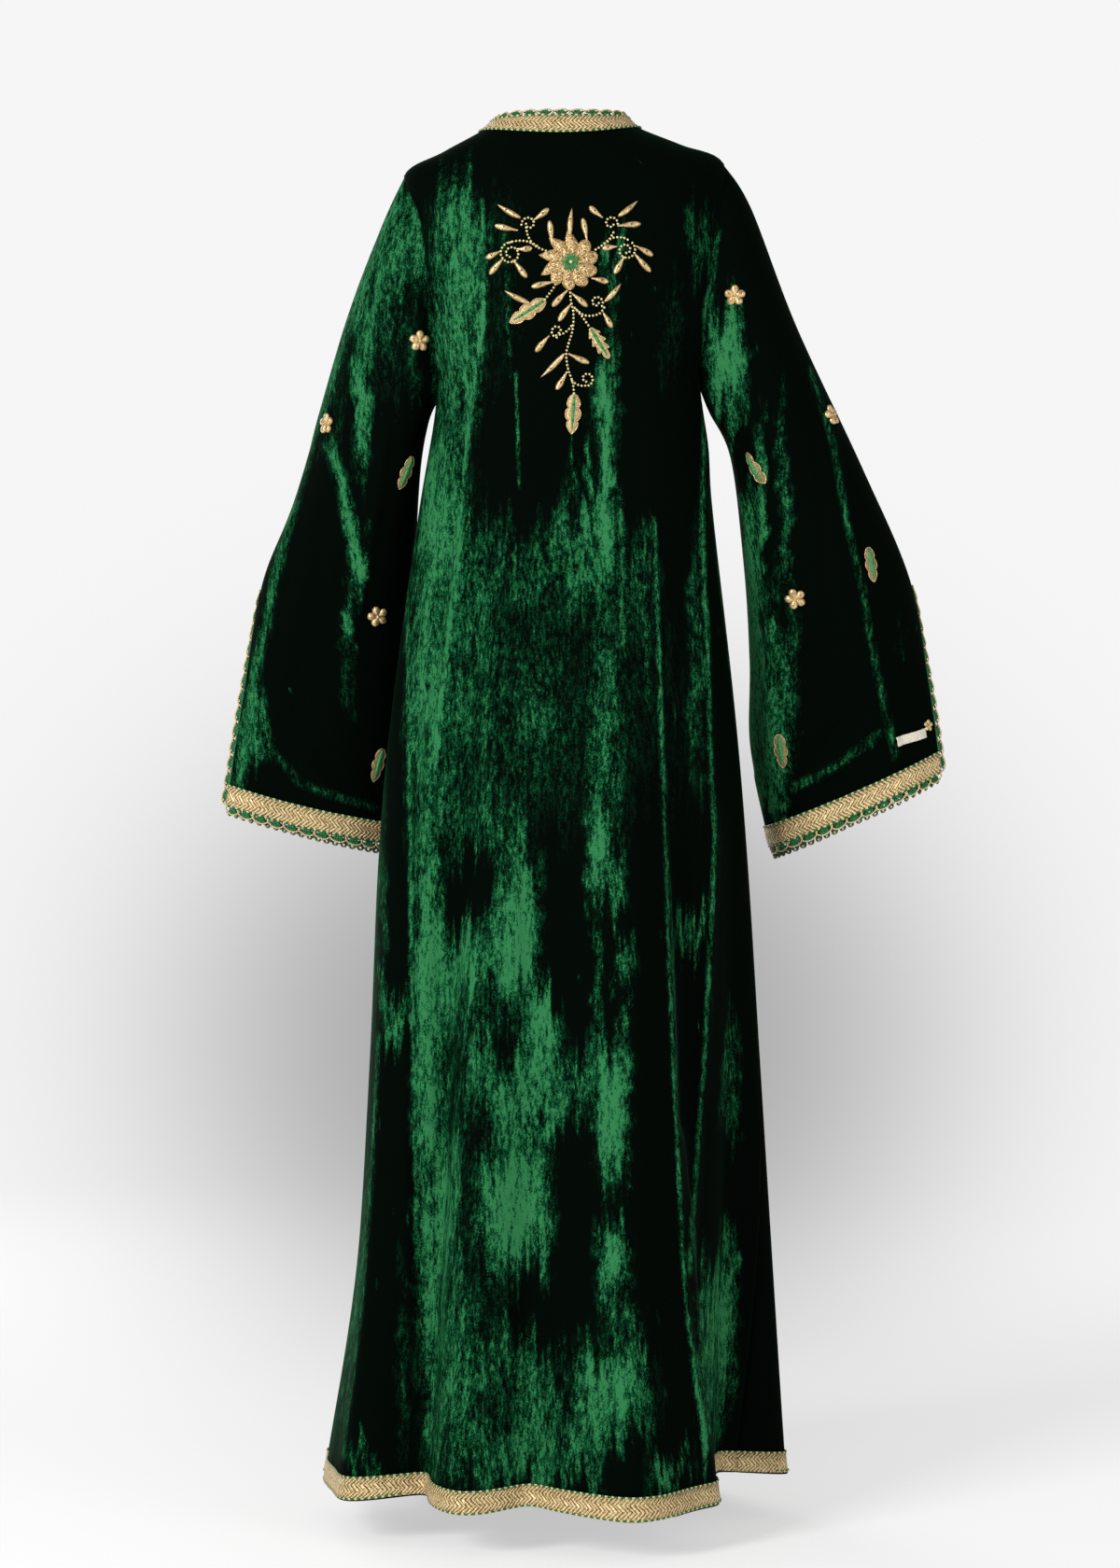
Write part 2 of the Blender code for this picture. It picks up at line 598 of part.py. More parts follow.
def build_sleeve(name: str, table: dict, folds: dict, grids: dict, rows: tuple,
                 side: float) -> Grid:
    """Make a sleeve whose first ring follows the armhole, a gap away from the body."""
    grid = sleeve_grid(table, folds, side)
    ring = armhole_ring(grids, rows, side > 0.0)
    edge = np.array([item[0] for item in ring])
    grid.points[1] += (edge - grid.points[0]) * ARMHOLE_DRIFT
    grid.points[0] = edge
    welded = SLEEVE_SLIT_ROW + 1
    normals = grid_normals(grid.points, side, welded)
    inner = grid.points - normals * WALL
    count = len(ring)
    for column, (point, normal, neighbour) in enumerate(ring):
        turn = math.pi * 2.0 * column / (count - 1)
        under = smooth_step(-math.cos(turn) + 0.1)
        away = unit(point - neighbour)
        if column in (0, count - 1):
            away = unit(np.array([side, 0.0, SHOULDER_DROP]))
        lifted = unit(np.array([side, 0.0, ARMHOLE_RISE]))
        outward = unit((1.0 - under) * away + under * lifted)
        cross = unit((1.0 - under) * normal + under * normals[0, column])
        grid.points[0, column] = point + outward * GAP
        inner[0, column] = point + outward * GAP - cross * WALL
    grid.points[:welded, -1] = grid.points[:welded, 0]
    inner[:welded, -1] = inner[:welded, 0]
    grid.normals = normals
    add_sheet(name, grid.points, inner, "velvet", welded)
    return grid


def smooth_step(value: float) -> float:
    """Return a soft step from 0 to 1."""
    value = min(max(value, 0.0), 1.0)
    return value * value * (3.0 - 2.0 * value)


def neck_rows(grids: dict) -> Grid:
    """Return the first two rows of left front, back and right front as one patch."""
    whole = slice(0, None)
    inside = slice(1, None)
    pieces = [grids["front_left"].part(slice(0, 2), whole), grids["back"].part(slice(0, 2), inside),
              grids["front_right"].part(slice(0, 2), inside)]
    ring = Grid(2, 1)
    ring.points = np.concatenate([piece.points for piece in pieces], axis=1)
    ring.normals = np.concatenate([piece.normals for piece in pieces], axis=1)
    return ring


def build_body_trims(grids: dict, rows: tuple) -> None:
    """Lay the braids of neck, front edges and hem on the body panels."""
    last = len(rows[0]) - 1
    whole = slice(0, None)
    add_braid("neck_band", neck_rows(grids).trim(GAP, 0.0, 0.0, 0.0))
    for name, grid in grids.items():
        add_braid("hem_band_" + name, grid.part(slice(last - 1, last + 1), whole))
    for side_name, columns in (("right", slice(-2, None)), ("left", slice(0, 2))):
        strip = grids["front_" + side_name].part(slice(1, last), columns)
        add_braid("front_braid_" + side_name, strip.trim(GAP, GAP, 0.0, 0.0))


def add_edging(name: str, edge: np.ndarray, outward: np.ndarray, normals: np.ndarray) -> None:
    """Make a scalloped strip along an edge; it stands out from the edge, flat with the cloth."""
    steps = np.linalg.norm(np.diff(edge, axis=0), axis=1)
    run = np.concatenate([[0.0], np.cumsum(steps)])
    start = EDGING_END
    length = run[-1] - 2.0 * start
    count = max(int(round(length / EDGING_PITCH)), 1) * EDGING_STEPS
    outer = np.zeros((2, count + 1, 3))
    inner = np.zeros((2, count + 1, 3))
    for index in range(count + 1):
        place = start + length * index / count
        point = np.array([np.interp(place, run, edge[:, axis]) for axis in range(3)])
        way = unit(np.array([np.interp(place, run, outward[:, axis]) for axis in range(3)]))
        normal = unit(np.array([np.interp(place, run, normals[:, axis]) for axis in range(3)]))
        wave = 0.5 - 0.5 * math.cos(2.0 * math.pi * index / EDGING_STEPS)
        depth = EDGING_VALLEY + (EDGING_PEAK - EDGING_VALLEY) * wave
        near = point + way * CORD_GAP
        far = near + way * depth
        outer[0, index] = near + normal * 0.5 * BRAID
        inner[0, index] = near - normal * 0.5 * BRAID
        outer[1, index] = far + normal * 0.5 * BRAID
        inner[1, index] = far - normal * 0.5 * BRAID
    add_sheet(name, outer, inner, "edging")


def edge_line(points: np.ndarray, inside: np.ndarray, normals: np.ndarray) -> tuple:
    """Return the middle line of a cloth edge, the way out of it and the cloth's normals."""
    way = points - inside
    way /= np.linalg.norm(way, axis=1)[:, None]
    return points - normals * 0.5 * WALL, way, normals


def build_sleeve_trims(side_name: str, grid: Grid) -> None:
    """Lay the cuff's braid and hang the edgings of cuff and slit."""
    band_rows = slice(SLEEVE_BAND_ROW, None)
    add_braid("cuff_band_" + side_name, grid.part(band_rows, slice(0, None)))
    add_edging("cuff_edging_" + side_name,
               *edge_line(grid.points[-1], grid.points[-2], grid.normals[-1]))
    slit_rows = slice(SLEEVE_SLIT_ROW + 1, None)
    for place, column, inside in (("back", 0, 1), ("front", -1, -2)):
        add_edging("slit_edging_" + side_name + "_" + place,
                   *edge_line(grid.points[slit_rows, column], grid.points[slit_rows, inside],
                              grid.normals[slit_rows, column]))


def build_neck_edging(grids: dict) -> None:
    """Stand the looped edging on the neck's edge."""
    ring = neck_rows(grids)
    add_edging("neck_edging", *edge_line(ring.points[0], ring.points[1], ring.normals[0]))


def node_tree(node: str) -> BVHTree:
    """Return the search tree of a finished node's faces."""
    mesh = bpy.data.objects[node].data
    points = [vertex.co.copy() for vertex in mesh.vertices]
    return BVHTree.FromPolygons(points, [tuple(polygon.vertices) for polygon in mesh.polygons])


def braid_front(z: float) -> float:
    """Return the Y of the foremost braid face beside the centre front at a height."""
    faces = []
    for node, side in (("front_braid_left", 1.0), ("front_braid_right", -1.0)):
        tree = node_tree(node)
        for reach in BUTTON_SEAT_REACHES:
            start = Vector((side * reach * BRAID_WIDTH, -1.0, z))
            faces.append(tree.ray_cast(start, Vector((0.0, 1.0, 0.0)))[0].y)
    return min(faces)


def button_gap(button: bpy.types.Object, trees: list) -> float:
    """Return the least distance from a button's corners to the front braids."""
    corners = [button.matrix_world @ vertex.co for vertex in button.data.vertices]
    return min(tree.find_nearest(corner)[3] for tree in trees for corner in corners)


def build_buttons() -> None:
    """Set the knotted thread buttons on the meeting front edges."""
    trees = [node_tree("front_braid_left"), node_tree("front_braid_right")]
    for number in range(BUTTON_COUNT):
        z = BUTTON_TOP_Z - BUTTON_STEP * number
        heights = (z - 0.5 * BUTTON_RADIUS, z, z + 0.5 * BUTTON_RADIUS)
        y = min(braid_front(height) for height in heights) - GAP - BUTTON_RADIUS
        bpy.ops.mesh.primitive_ico_sphere_add(subdivisions=1, radius=BUTTON_RADIUS,
                                              location=(0.0, y, z),
                                              rotation=(math.radians(90.0), 0.0, 0.0))
        item = bpy.context.object
        item.name = f"button_{number + 1}"
        item.data.name = item.name
        item.data.materials.append(make_material("button"))
        item.data.shade_smooth()
        for _ in range(BUTTON_SETTLES):
            bpy.context.view_layer.update()
            item.location.y += button_gap(item, trees) - GAP


class Backdrop:
    """The outside of a cloth node as seen from behind, to lay appliques on."""

    def __init__(self, node: str, x: float, z: float, lean: float = 0.0) -> None:
        self.tree = node_tree(node)
        self.lift = CORD_GAP
        self.middle, self.normal = self.hit(x, z)
        down = Vector((0.0, 0.0, -1.0))
        self.down = (down - self.normal * down.dot(self.normal)).normalized()
        self.across = self.normal.cross(self.down).normalized()
        angle = math.radians(lean)
        along = self.down * math.cos(angle) + self.across * math.sin(angle)
        self.across = self.across * math.cos(angle) - self.down * math.sin(angle)
        self.down = along

    def hit(self, x: float, z: float) -> tuple:
        """Return the outer point and normal straight behind an X and Z."""
        point, normal, _, _ = self.tree.ray_cast(Vector((x, 1.0, z)), Vector((0.0, -1.0, 0.0)))
        return point, normal

    def place(self, across: float, up: float, out: float) -> Vector:
        """Return the point at a flat place, laid on the cloth and moved out."""
        start = self.middle + self.across * across - self.down * up + self.normal * RAY_HEIGHT
        point, normal, _, _ = self.tree.ray_cast(start, -self.normal)
        return point + normal * (out + self.lift)


def lay_on(backdrop: Backdrop, flat_vertices: list, faces: list) -> list:
    """Move flat design vertices onto the cloth, just high enough to clear it."""
    laid = []
    for _ in range(LIFT_TRIES):
        laid = [backdrop.place(*vertex) for vertex in flat_vertices]
        if not backdrop.tree.overlap(BVHTree.FromPolygons(laid, faces)):
            break
        backdrop.lift += LIFT_STEP
    return laid


def ring_pad(radii: list, height: float, rings: tuple) -> tuple:
    """Return vertices and faces of a domed pad whose outline has the given radii."""
    count = len(radii)
    vertices = []
    for layer in (0, 1):
        for share, rise in rings:
            for index, radius in enumerate(radii):
                angle = 2.0 * math.pi * index / count
                up = height * rise if layer == 1 else 0.0
                vertices.append((share * radius * math.cos(angle),
                                 share * radius * math.sin(angle), up))
        vertices.append((0.0, 0.0, height if layer == 1 else 0.0))
    size = len(rings) * count + 1
    faces = []
    for layer in (0, 1):
        base = layer * size
        for ring_number in range(len(rings) - 1):
            for index in range(count):
                following = (index + 1) % count
                first = base + ring_number * count
                faces.append([first + index, first + following, first + count + following,
                              first + count + index])
        last = base + (len(rings) - 1) * count
        for index in range(count):
            faces.append([last + index, last + (index + 1) % count, base + size - 1])
    for index in range(count):
        following = (index + 1) % count
        faces.append([index, following, size + following, size + index])
    return vertices, faces


def build_small_flower(name: str, node: str, place: tuple, radius: float) -> None:
    """Make a small five-petalled flower on a sleeve."""
    radii = [radius * share for _ in range(SMALL_PETALS) for share in SMALL_PETAL_RADII]
    vertices, faces = ring_pad(radii, APPLIQUE_HEIGHT, SMALL_FLOWER_RINGS)
    spot = Place(*place)
    backdrop = Backdrop(node, spot.x, spot.z, spot.lean)
    add_object(name, lay_on(backdrop, vertices, faces), faces, "gold_thread")


def leaf_outline(length: float, width: float) -> list:
    """Return a lobed leaf's half widths along its length, root first."""
    rows = []
    steps = 2 * LEAF_LOBES
    for step in range(steps + 1):
        share = step / steps
        swell = math.sin(math.pi * (LEAF_ROOT + (1.0 - LEAF_ROOT) * share)) ** LEAF_FULLNESS
        notch = 1.0 if step % 2 else LEAF_NOTCH
        rows.append((length * share, 0.5 * width * max(swell * notch, LEAF_TIP)))
    return rows


def leaf_pad(length: float, width: float, height: float) -> tuple:
    """Return vertices and faces of a leaf with a raised middle, root at the origin, along +X."""
    rows = leaf_outline(length, width)
    vertices = []
    for run, half in rows:
        vertices.append((run, -half, 0.0))
        vertices.append((run, half, 0.0))
        vertices.append((run, half, 0.5 * height))
        vertices.append((run, 0.0, height))
        vertices.append((run, -half, 0.5 * height))
    return vertices, tube_faces(len(rows), 5, False)


def build_small_leaf(name: str, node: str, place: tuple) -> None:
    """Make a small leaf on a sleeve, its tip down."""
    vertices, faces = leaf_pad(LEAF_LENGTH, LEAF_WIDTH, APPLIQUE_HEIGHT)
    spot = Place(*place)
    backdrop = Backdrop(node, spot.x, spot.z, spot.lean)
    flat = [(v, 0.5 * LEAF_LENGTH - u, h) for u, v, h in vertices]
    add_object(name, lay_on(backdrop, flat, faces), faces, "gold_thread")


def build_label() -> None:
    """Lay the bare ribbon beside the right slit."""
    spot = Place(*LABEL_PLACE)
    backdrop = Backdrop("sleeve_right", spot.x, spot.z, spot.lean)
    length, width = LABEL_SIZE
    layers = []
    for out in (BRAID, 0.0):
        layer = np.zeros((2, LABEL_COLUMNS + 1, 3))
        for column in range(LABEL_COLUMNS + 1):
            across = length * (column / LABEL_COLUMNS - 0.5)
            for row, up in enumerate((0.5 * width, -0.5 * width)):
                layer[row, column] = backdrop.place(across, up, out)
        layers.append(layer)
    add_sheet("label", layers[0], layers[1], "ribbon")


def tube_faces(rings: int, sides: int, closed: bool) -> list:
    """Return the faces round a row of rings, with end caps unless it closes on itself."""
    faces = []
    if not closed:
        faces = [list(range(sides)), [sides * (rings - 1) + n for n in reversed(range(sides))]]
    for ring in range(rings if closed else rings - 1):
        following_ring = (ring + 1) % rings
        for n in range(sides):
            following = (n + 1) % sides
            faces.append([sides * ring + n, sides * following_ring + n,
                          sides * following_ring + following, sides * ring + following])
    return faces


def ribbon_pad(route: list, width: float, height: float, closed: bool = False) -> tuple:
    """Return vertices and faces of a flat-backed stem along a route."""
    points = [np.array(point, dtype=float) for point in route]
    count = len(points)
    vertices = []
    for index, point in enumerate(points):
        before = points[index - 1] if closed or index > 0 else point
        after = points[(index + 1) % count] if closed or index < count - 1 else point
        way = unit(after - before)
        side = np.array([-way[1], way[0]]) * 0.5 * width
        for offset, up in ((side, 0.0), (-side, 0.0), (0.0 * side, height)):
            vertices.append((*(point + offset), up))
    return vertices, tube_faces(count, 3, closed)


def drop_pad(length: float) -> tuple:
    """Return vertices and faces of a padded drop, root at the origin, along +X."""
    vertices = []
    for run, swell in DROP_PROFILE:
        half = 0.5 * DROP_WIDTH * swell
        vertices.extend(((run * length, -half, 0.0), (run * length, half, 0.0),
                         (run * length, 0.0, DROP_HEIGHT * swell)))
    return vertices, tube_faces(len(DROP_PROFILE), 3, False)


def turned(vertices: list, across: float, up: float, degrees: float) -> list:
    """Turn and move flat vertices."""
    cosine = math.cos(math.radians(degrees))
    sine = math.sin(math.radians(degrees))
    return [(across + u * cosine - v * sine, up + u * sine + v * cosine, h)
            for u, v, h in vertices]


def nearest_stem_point(across: float, up: float, routes: list) -> np.ndarray:
    """Return the point of the stems that lies nearest to a place."""
    place = np.array([across, up], dtype=float)
    best = None
    for route in routes:
        for start, end in zip(route[:-1], route[1:]):
            start = np.array(start, dtype=float)
            line = np.array(end, dtype=float) - start
            share = min(max(np.dot(place - start, line) / np.dot(line, line), 0.0), 1.0)
            point = start + line * share
            if best is None or np.linalg.norm(point - place) < np.linalg.norm(best - place):
                best = point
    return best


def curl_route(across: float, up: float, radius: float) -> list:
    """Return a curl's round route."""
    turns = [2.0 * math.pi * step / CURL_STEPS for step in range(CURL_STEPS)]
    return [(across + radius * math.cos(turn), up + radius * math.sin(turn)) for turn in turns]


def stalk(across: float, up: float, stems: list) -> tuple:
    """Return the pad of a short stalk from the nearest stem to a place, or None if it is there."""
    joint = nearest_stem_point(across, up, stems)
    if math.hypot(across - joint[0], up - joint[1]) < STALK_WIDTH:
        return None
    return ribbon_pad([tuple(joint), (across, up)], STALK_WIDTH, STALK_HEIGHT)


def motif_pads() -> list:
    """Return the flat pads of the back motif."""
    stems = [list(route) for route in STEMS.values()]
    pads = [ribbon_pad(route, STEM_WIDTH, STEM_HEIGHT) for route in stems]
    for row in CURLS:
        curl = Curl(*row)
        route = curl_route(curl.across, curl.up, curl.radius)
        pads.append(ribbon_pad(route, STEM_WIDTH, STEM_HEIGHT, True))
        joint = nearest_stem_point(curl.across, curl.up, stems)
        near = min(route, key=lambda place: math.dist(place, tuple(joint)))
        pads.append(stalk(*near, stems))
        stems.append(route + route[:1])
    for row in DROPS:
        drop = Drop(*row)
        vertices, faces = drop_pad(drop.length)
        pads.append((turned(vertices, drop.across, drop.up, drop.angle), faces))
        root_x = drop.across + DROP_ROOT * math.cos(math.radians(drop.angle))
        root_y = drop.up + DROP_ROOT * math.sin(math.radians(drop.angle))
        pads.append(stalk(root_x, root_y, stems))
    for row in MOTIF_LEAVES:
        leaf = Drop(*row)
        vertices, faces = leaf_pad(leaf.length, MOTIF_LEAF_WIDTH, MOTIF_LEAF_HEIGHT)
        pads.append((turned(vertices, leaf.across, leaf.up, leaf.angle), faces))
    radii = [MOTIF_FLOWER_RADIUS * share for _ in range(MOTIF_PETALS)
             for share in MOTIF_PETAL_RADII]
    pads.append(ring_pad(radii, MOTIF_FLOWER_HEIGHT, MOTIF_FLOWER_RINGS))
    return [pad for pad in pads if pad is not None]


def build_motif() -> None:
    """Join the motif's pads in the flat, then lay the one solid on the back panel."""
    parts = []
    for number, (vertices, faces) in enumerate(motif_pads()):
        parts.append(add_object(f"pad_{number}", vertices, faces, "gold_thread"))
    body = parts[0]
    body.name = "back_motif"
    body.data.name = "back_motif"
    for part in parts[1:]:
        union = body.modifiers.new("join", "BOOLEAN")
        union.operation = "UNION"
        union.solver = "EXACT"
        union.object = part
        bpy.context.view_layer.objects.active = body
        bpy.ops.object.modifier_apply(modifier=union.name)
        bpy.data.objects.remove(part, do_unlink=True)
    work = bmesh.new()
    work.from_mesh(body.data)
    bmesh.ops.remove_doubles(work, verts=work.verts, dist=MOTIF_MERGE)
    outside = [face for face in work.faces
               if face.calc_center_median().xy.length > MOTIF_FLOWER_RADIUS]
    edges = {edge for face in outside for edge in face.edges}
    bmesh.ops.dissolve_limit(work, angle_limit=math.radians(FLAT_ANGLE), edges=list(edges),
                             verts=list({vertex for edge in edges for vertex in edge.verts}))
    bmesh.ops.triangulate(work, faces=work.faces)
    work.to_mesh(body.data)
    work.free()
    backdrop = Backdrop("back_panel", MOTIF_X, MOTIF_Z)
    for vertex in body.data.vertices:
        across, up, out = vertex.co * MILLIMETRE
        vertex.co = backdrop.place(across, up, out)
    body.data.update()


def main() -> None:
    """Build every piece of the kaftan."""
    clear_scene()
    rows = row_positions()
    grids = build_panels(rows)
    left = build_sleeve("sleeve_left", SLEEVE_LEFT, SLEEVE_FOLDS_LEFT, grids, rows, 1.0)
    right = build_sleeve("sleeve_right", SLEEVE_RIGHT, SLEEVE_FOLDS_RIGHT, grids, rows, -1.0)
    build_body_trims(grids, rows)
    build_sleeve_trims("left", left)
    build_sleeve_trims("right", right)
    build_neck_edging(grids)
    build_buttons()
    for name, place in FLOWER_PLACES.items():
        build_small_flower(name, "sleeve_left" if "left" in name else "sleeve_right", place,
                           FLOWER_RADIUS)
    for name, place in LEAF_PLACES.items():
        build_small_leaf(name, "sleeve_left" if "left" in name else "sleeve_right", place)
    build_label()
    build_small_flower("ribbon_flower", "sleeve_right", RIBBON_FLOWER_PLACE,
                       RIBBON_FLOWER_RADIUS)
    build_motif()


main()
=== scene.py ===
"""A long crushed velvet kaftan seen from behind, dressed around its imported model.

Metres, +Z up. The garment's back faces +Y and its wearer's left is +X. The cloth, braids, looped
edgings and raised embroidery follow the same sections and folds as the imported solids.
"""

import json
import logging
import math
from dataclasses import dataclass, field
from enum import Enum
from typing import Callable, NamedTuple, Sequence

import bmesh
import bpy
import numpy as np
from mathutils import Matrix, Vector
from mathutils.bvhtree import BVHTree

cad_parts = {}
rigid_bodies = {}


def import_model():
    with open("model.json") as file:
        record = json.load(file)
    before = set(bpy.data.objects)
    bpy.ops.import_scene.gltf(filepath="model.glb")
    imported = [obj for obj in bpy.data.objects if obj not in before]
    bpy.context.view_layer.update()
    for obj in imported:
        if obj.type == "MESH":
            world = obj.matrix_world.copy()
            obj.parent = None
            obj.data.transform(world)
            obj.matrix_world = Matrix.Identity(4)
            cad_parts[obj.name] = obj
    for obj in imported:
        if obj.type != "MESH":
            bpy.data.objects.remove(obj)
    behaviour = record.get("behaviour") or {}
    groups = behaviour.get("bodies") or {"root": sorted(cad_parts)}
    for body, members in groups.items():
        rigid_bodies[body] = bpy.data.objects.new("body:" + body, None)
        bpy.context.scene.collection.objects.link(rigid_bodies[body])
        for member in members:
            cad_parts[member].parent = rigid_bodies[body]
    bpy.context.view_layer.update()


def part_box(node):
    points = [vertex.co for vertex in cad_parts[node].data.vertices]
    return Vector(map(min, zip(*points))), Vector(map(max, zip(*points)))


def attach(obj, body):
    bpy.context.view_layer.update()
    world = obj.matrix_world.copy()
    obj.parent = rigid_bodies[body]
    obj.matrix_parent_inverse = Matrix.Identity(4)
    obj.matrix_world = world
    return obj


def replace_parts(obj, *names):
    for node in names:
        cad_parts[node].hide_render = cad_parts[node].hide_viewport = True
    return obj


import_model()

Array = np.ndarray
Piece = bpy.types.Object
Material = bpy.types.Material
Socket = bpy.types.NodeSocket
Colour = tuple[float, float, float]
Route = Sequence[tuple[float, float]]

# The photograph's frame: focal length and middle in its pixels, and the camera's place in metres
FOCAL = 4455.0
MIDDLE_X = 600.0
MIDDLE_Y = 840.0
PHOTO_HEIGHT = 1680.0
SENSOR = 36.0
CAMERA_Y = 4.77
CAMERA_Z = -0.744
FLOOR_Z = -1.59

# Cloth and trim thicknesses, and the gaps between neighbouring pieces
WALL = 0.0014
BRAID = 0.0012
GAP = 0.0003
BRAID_WIDTH = 0.023
MILLIMETRE = 0.001


class Slot(Enum):
    """The record's material slots."""

    VELVET = "velvet"
    BRAID = "gold_braid"
    EDGING = "edging"
    EMBROIDERY = "embroidery"
    BUTTON = "button"
    RIBBON = "ribbon"


class Side(Enum):
    """The wearer's two sides, as the sign of X."""

    LEFT = 1.0
    RIGHT = -1.0

    @property
    def word(self) -> str:
        """The side's name in lower case."""
        return self.name.lower()


class Section(NamedTuple):
    """One ring of the body: heights, half widths, depths and roundness."""

    z_left: float
    z_right: float
    z_back: float
    z_front: float
    width_left: float
    width_right: float
    depth_back: float
    depth_front: float
    roundness: float


class Fold(NamedTuple):
    """A hanging fold: angles at hem and top, depth, spreads, flatness, start and growth."""

    hem_angle: float
    top_angle: float
    depth: float
    before: float
    after: float
    flatness: float
    z_start: float
    growth: float


class SleeveSection(NamedTuple):
    """One ring of a sleeve: outer and inner edge, middle, half depth, slit and sag."""

    outer_x: float
    outer_z: float
    inner_x: float
    inner_z: float
    centre_y: float
    half_depth: float
    slit: float
    sag: float


class SleeveFold(NamedTuple):
    """A fold of a sleeve: angle round it, depth at the cuff, spread and first row."""

    angle: float
    depth: float
    spread: float
    start: float


class Patch(NamedTuple):
    """A soft patch on the cloth: its edges in the photograph's frame and its strength."""

    left: float
    right: float
    top: float
    bottom: float
    strength: float

    def cover(self, places: Array) -> Array:
        """Return how much the patch covers of each place."""
        across = (2.0 * places[..., 0] - self.left - self.right) / (self.right - self.left)
        down = (2.0 * places[..., 1] - self.top - self.bottom) / (self.bottom - self.top)
        return self.strength * np.exp(-(np.abs(across) ** 3 + np.abs(down) ** 3))


class Streak(NamedTuple):
    """A soft line on the cloth, in the photograph's frame: its strength, half width and route."""

    strength: float
    half_width: float
    route: Route


SECTIONS = tuple(Section(*row) for row in (
    (0.014, 0.018, 0.013, -0.075, 0.079, 0.079, 0.062, 0.088, 2.0),
    (0.003, 0.007, -0.008, -0.096, 0.092, 0.092, 0.076, 0.104, 2.0),
    (-0.021, -0.012, -0.036, -0.125, 0.136, 0.140, 0.093, 0.127, 1.95),
    (-0.047, -0.033, -0.076, -0.155, 0.179, 0.188, 0.104, 0.142, 1.95),
    (-0.105, -0.100, -0.120, -0.190, 0.171, 0.194, 0.108, 0.150, 2.25),
    (-0.180, -0.176, -0.186, -0.235, 0.163, 0.187, 0.109, 0.156, 2.5),
    (-0.250, -0.243, -0.250, -0.276, 0.150, 0.172, 0.106, 0.152, 2.5),
    (-0.306, -0.290, -0.302, -0.315, 0.142, 0.161, 0.103, 0.146, 2.4),
    (-0.440, -0.440, -0.440, -0.445, 0.163, 0.176, 0.105, 0.136, 2.3),
    (-0.653, -0.653, -0.653, -0.660, 0.192, 0.200, 0.130, 0.150, 2.2),
    (-0.830, -0.830, -0.830, -0.840, 0.208, 0.215, 0.152, 0.170, 2.2),
    (-1.060, -1.060, -1.060, -1.075, 0.218, 0.230, 0.178, 0.195, 2.2),
    (-1.310, -1.310, -1.310, -1.335, 0.234, 0.247, 0.204, 0.226, 2.2),
    (-1.515, -1.515, -1.515, -1.552, 0.265, 0.262, 0.224, 0.248, 2.2),
    (-1.538, -1.538, -1.538, -1.575, 0.269, 0.266, 0.226, 0.250, 2.2),
))
BAND_FOOT, TIP, UNDERARM, LIFT_FROM, HEM_BAND_TOP = 1.0, 3.0, 7.0, 10.0, 13.0
LAST = len(SECTIONS) - 1.0
ARMHOLE_STEPS = 10.0
ARMHOLE_DEPTH_BACK = 0.056
ARMHOLE_DEPTH_FRONT = 0.060
HEM_LIFT_PER_DEPTH = 0.12
EVENNESS = 0.75

FOLDS = tuple(Fold(*row) for row in (
    (31.0, 18.0, 0.016, 9.0, 6.0, 2.0, -0.70, 1.0),
    (43.0, 45.0, -0.046, 7.0, 9.0, 2.0, -0.30, 1.2),
    (66.0, 62.0, 0.022, 9.0, 10.0, 2.0, -0.50, 1.2),
    (80.0, 82.0, -0.024, 8.0, 8.0, 2.0, -0.70, 1.2),
    (108.0, 118.0, 0.044, 13.0, 15.0, 2.0, -0.40, 1.0),
    (166.0, 152.0, -0.086, 26.0, 17.0, 6.0, -0.55, 1.25),
    (212.0, 215.0, -0.030, 9.0, 9.0, 2.0, -0.60, 1.2),
    (236.0, 234.0, 0.020, 9.0, 9.0, 2.0, -0.50, 1.2),
    (254.0, 253.0, -0.018, 7.0, 7.0, 2.0, -0.80, 1.0),
    (303.0, 302.0, 0.022, 9.0, 9.0, 2.0, -0.50, 1.2),
    (324.0, 322.0, -0.032, 9.0, 9.0, 2.0, -0.60, 1.2),
    (344.0, 345.0, 0.012, 7.0, 7.0, 2.0, -0.70, 1.0),
))

SLEEVE_SECTIONS = {
    Side.LEFT: tuple(SleeveSection(*row) for row in (
        (0.179, -0.047, 0.142, -0.306, 0.000, 0.056, 0.000, 0.000),
        (0.205, -0.105, 0.151, -0.330, -0.003, 0.063, 0.000, 0.000),
        (0.2485, -0.216, 0.161, -0.385, -0.026, 0.069, 0.000, 0.000),
        (0.308, -0.407, 0.169, -0.500, -0.072, 0.068, 0.000, 0.002),
        (0.3495, -0.511, 0.173, -0.600, -0.105, 0.064, 0.000, 0.003),
        (0.370, -0.630, 0.177, -0.700, -0.130, 0.062, 0.042, 0.004),
        (0.3885, -0.744, 0.1815, -0.792, -0.150, 0.060, 0.058, 0.006),
        (0.392, -0.767, 0.182, -0.815, -0.153, 0.060, 0.060, 0.006),
    )),
    Side.RIGHT: tuple(SleeveSection(*row) for row in (
        (0.188, -0.033, 0.161, -0.290, 0.000, 0.056, 0.000, 0.000),
        (0.219, -0.083, 0.171, -0.317, -0.002, 0.063, 0.000, 0.000),
        (0.272, -0.219, 0.196, -0.370, -0.010, 0.068, 0.000, 0.000),
        (0.349, -0.377, 0.212, -0.490, -0.040, 0.070, 0.000, 0.002),
        (0.407, -0.507, 0.2195, -0.600, -0.065, 0.068, 0.000, 0.002),
        (0.4275, -0.618, 0.221, -0.700, -0.085, 0.064, 0.038, 0.003),
        (0.4405, -0.706, 0.240, -0.794, -0.099, 0.058, 0.052, 0.004),
        (0.443, -0.729, 0.246, -0.817, -0.101, 0.057, 0.055, 0.004),
    )),
}
SLIT_TOP = 4.0
SLEEVE_BAND_TOP = 6.0
SLEEVE_LAST = 7.0
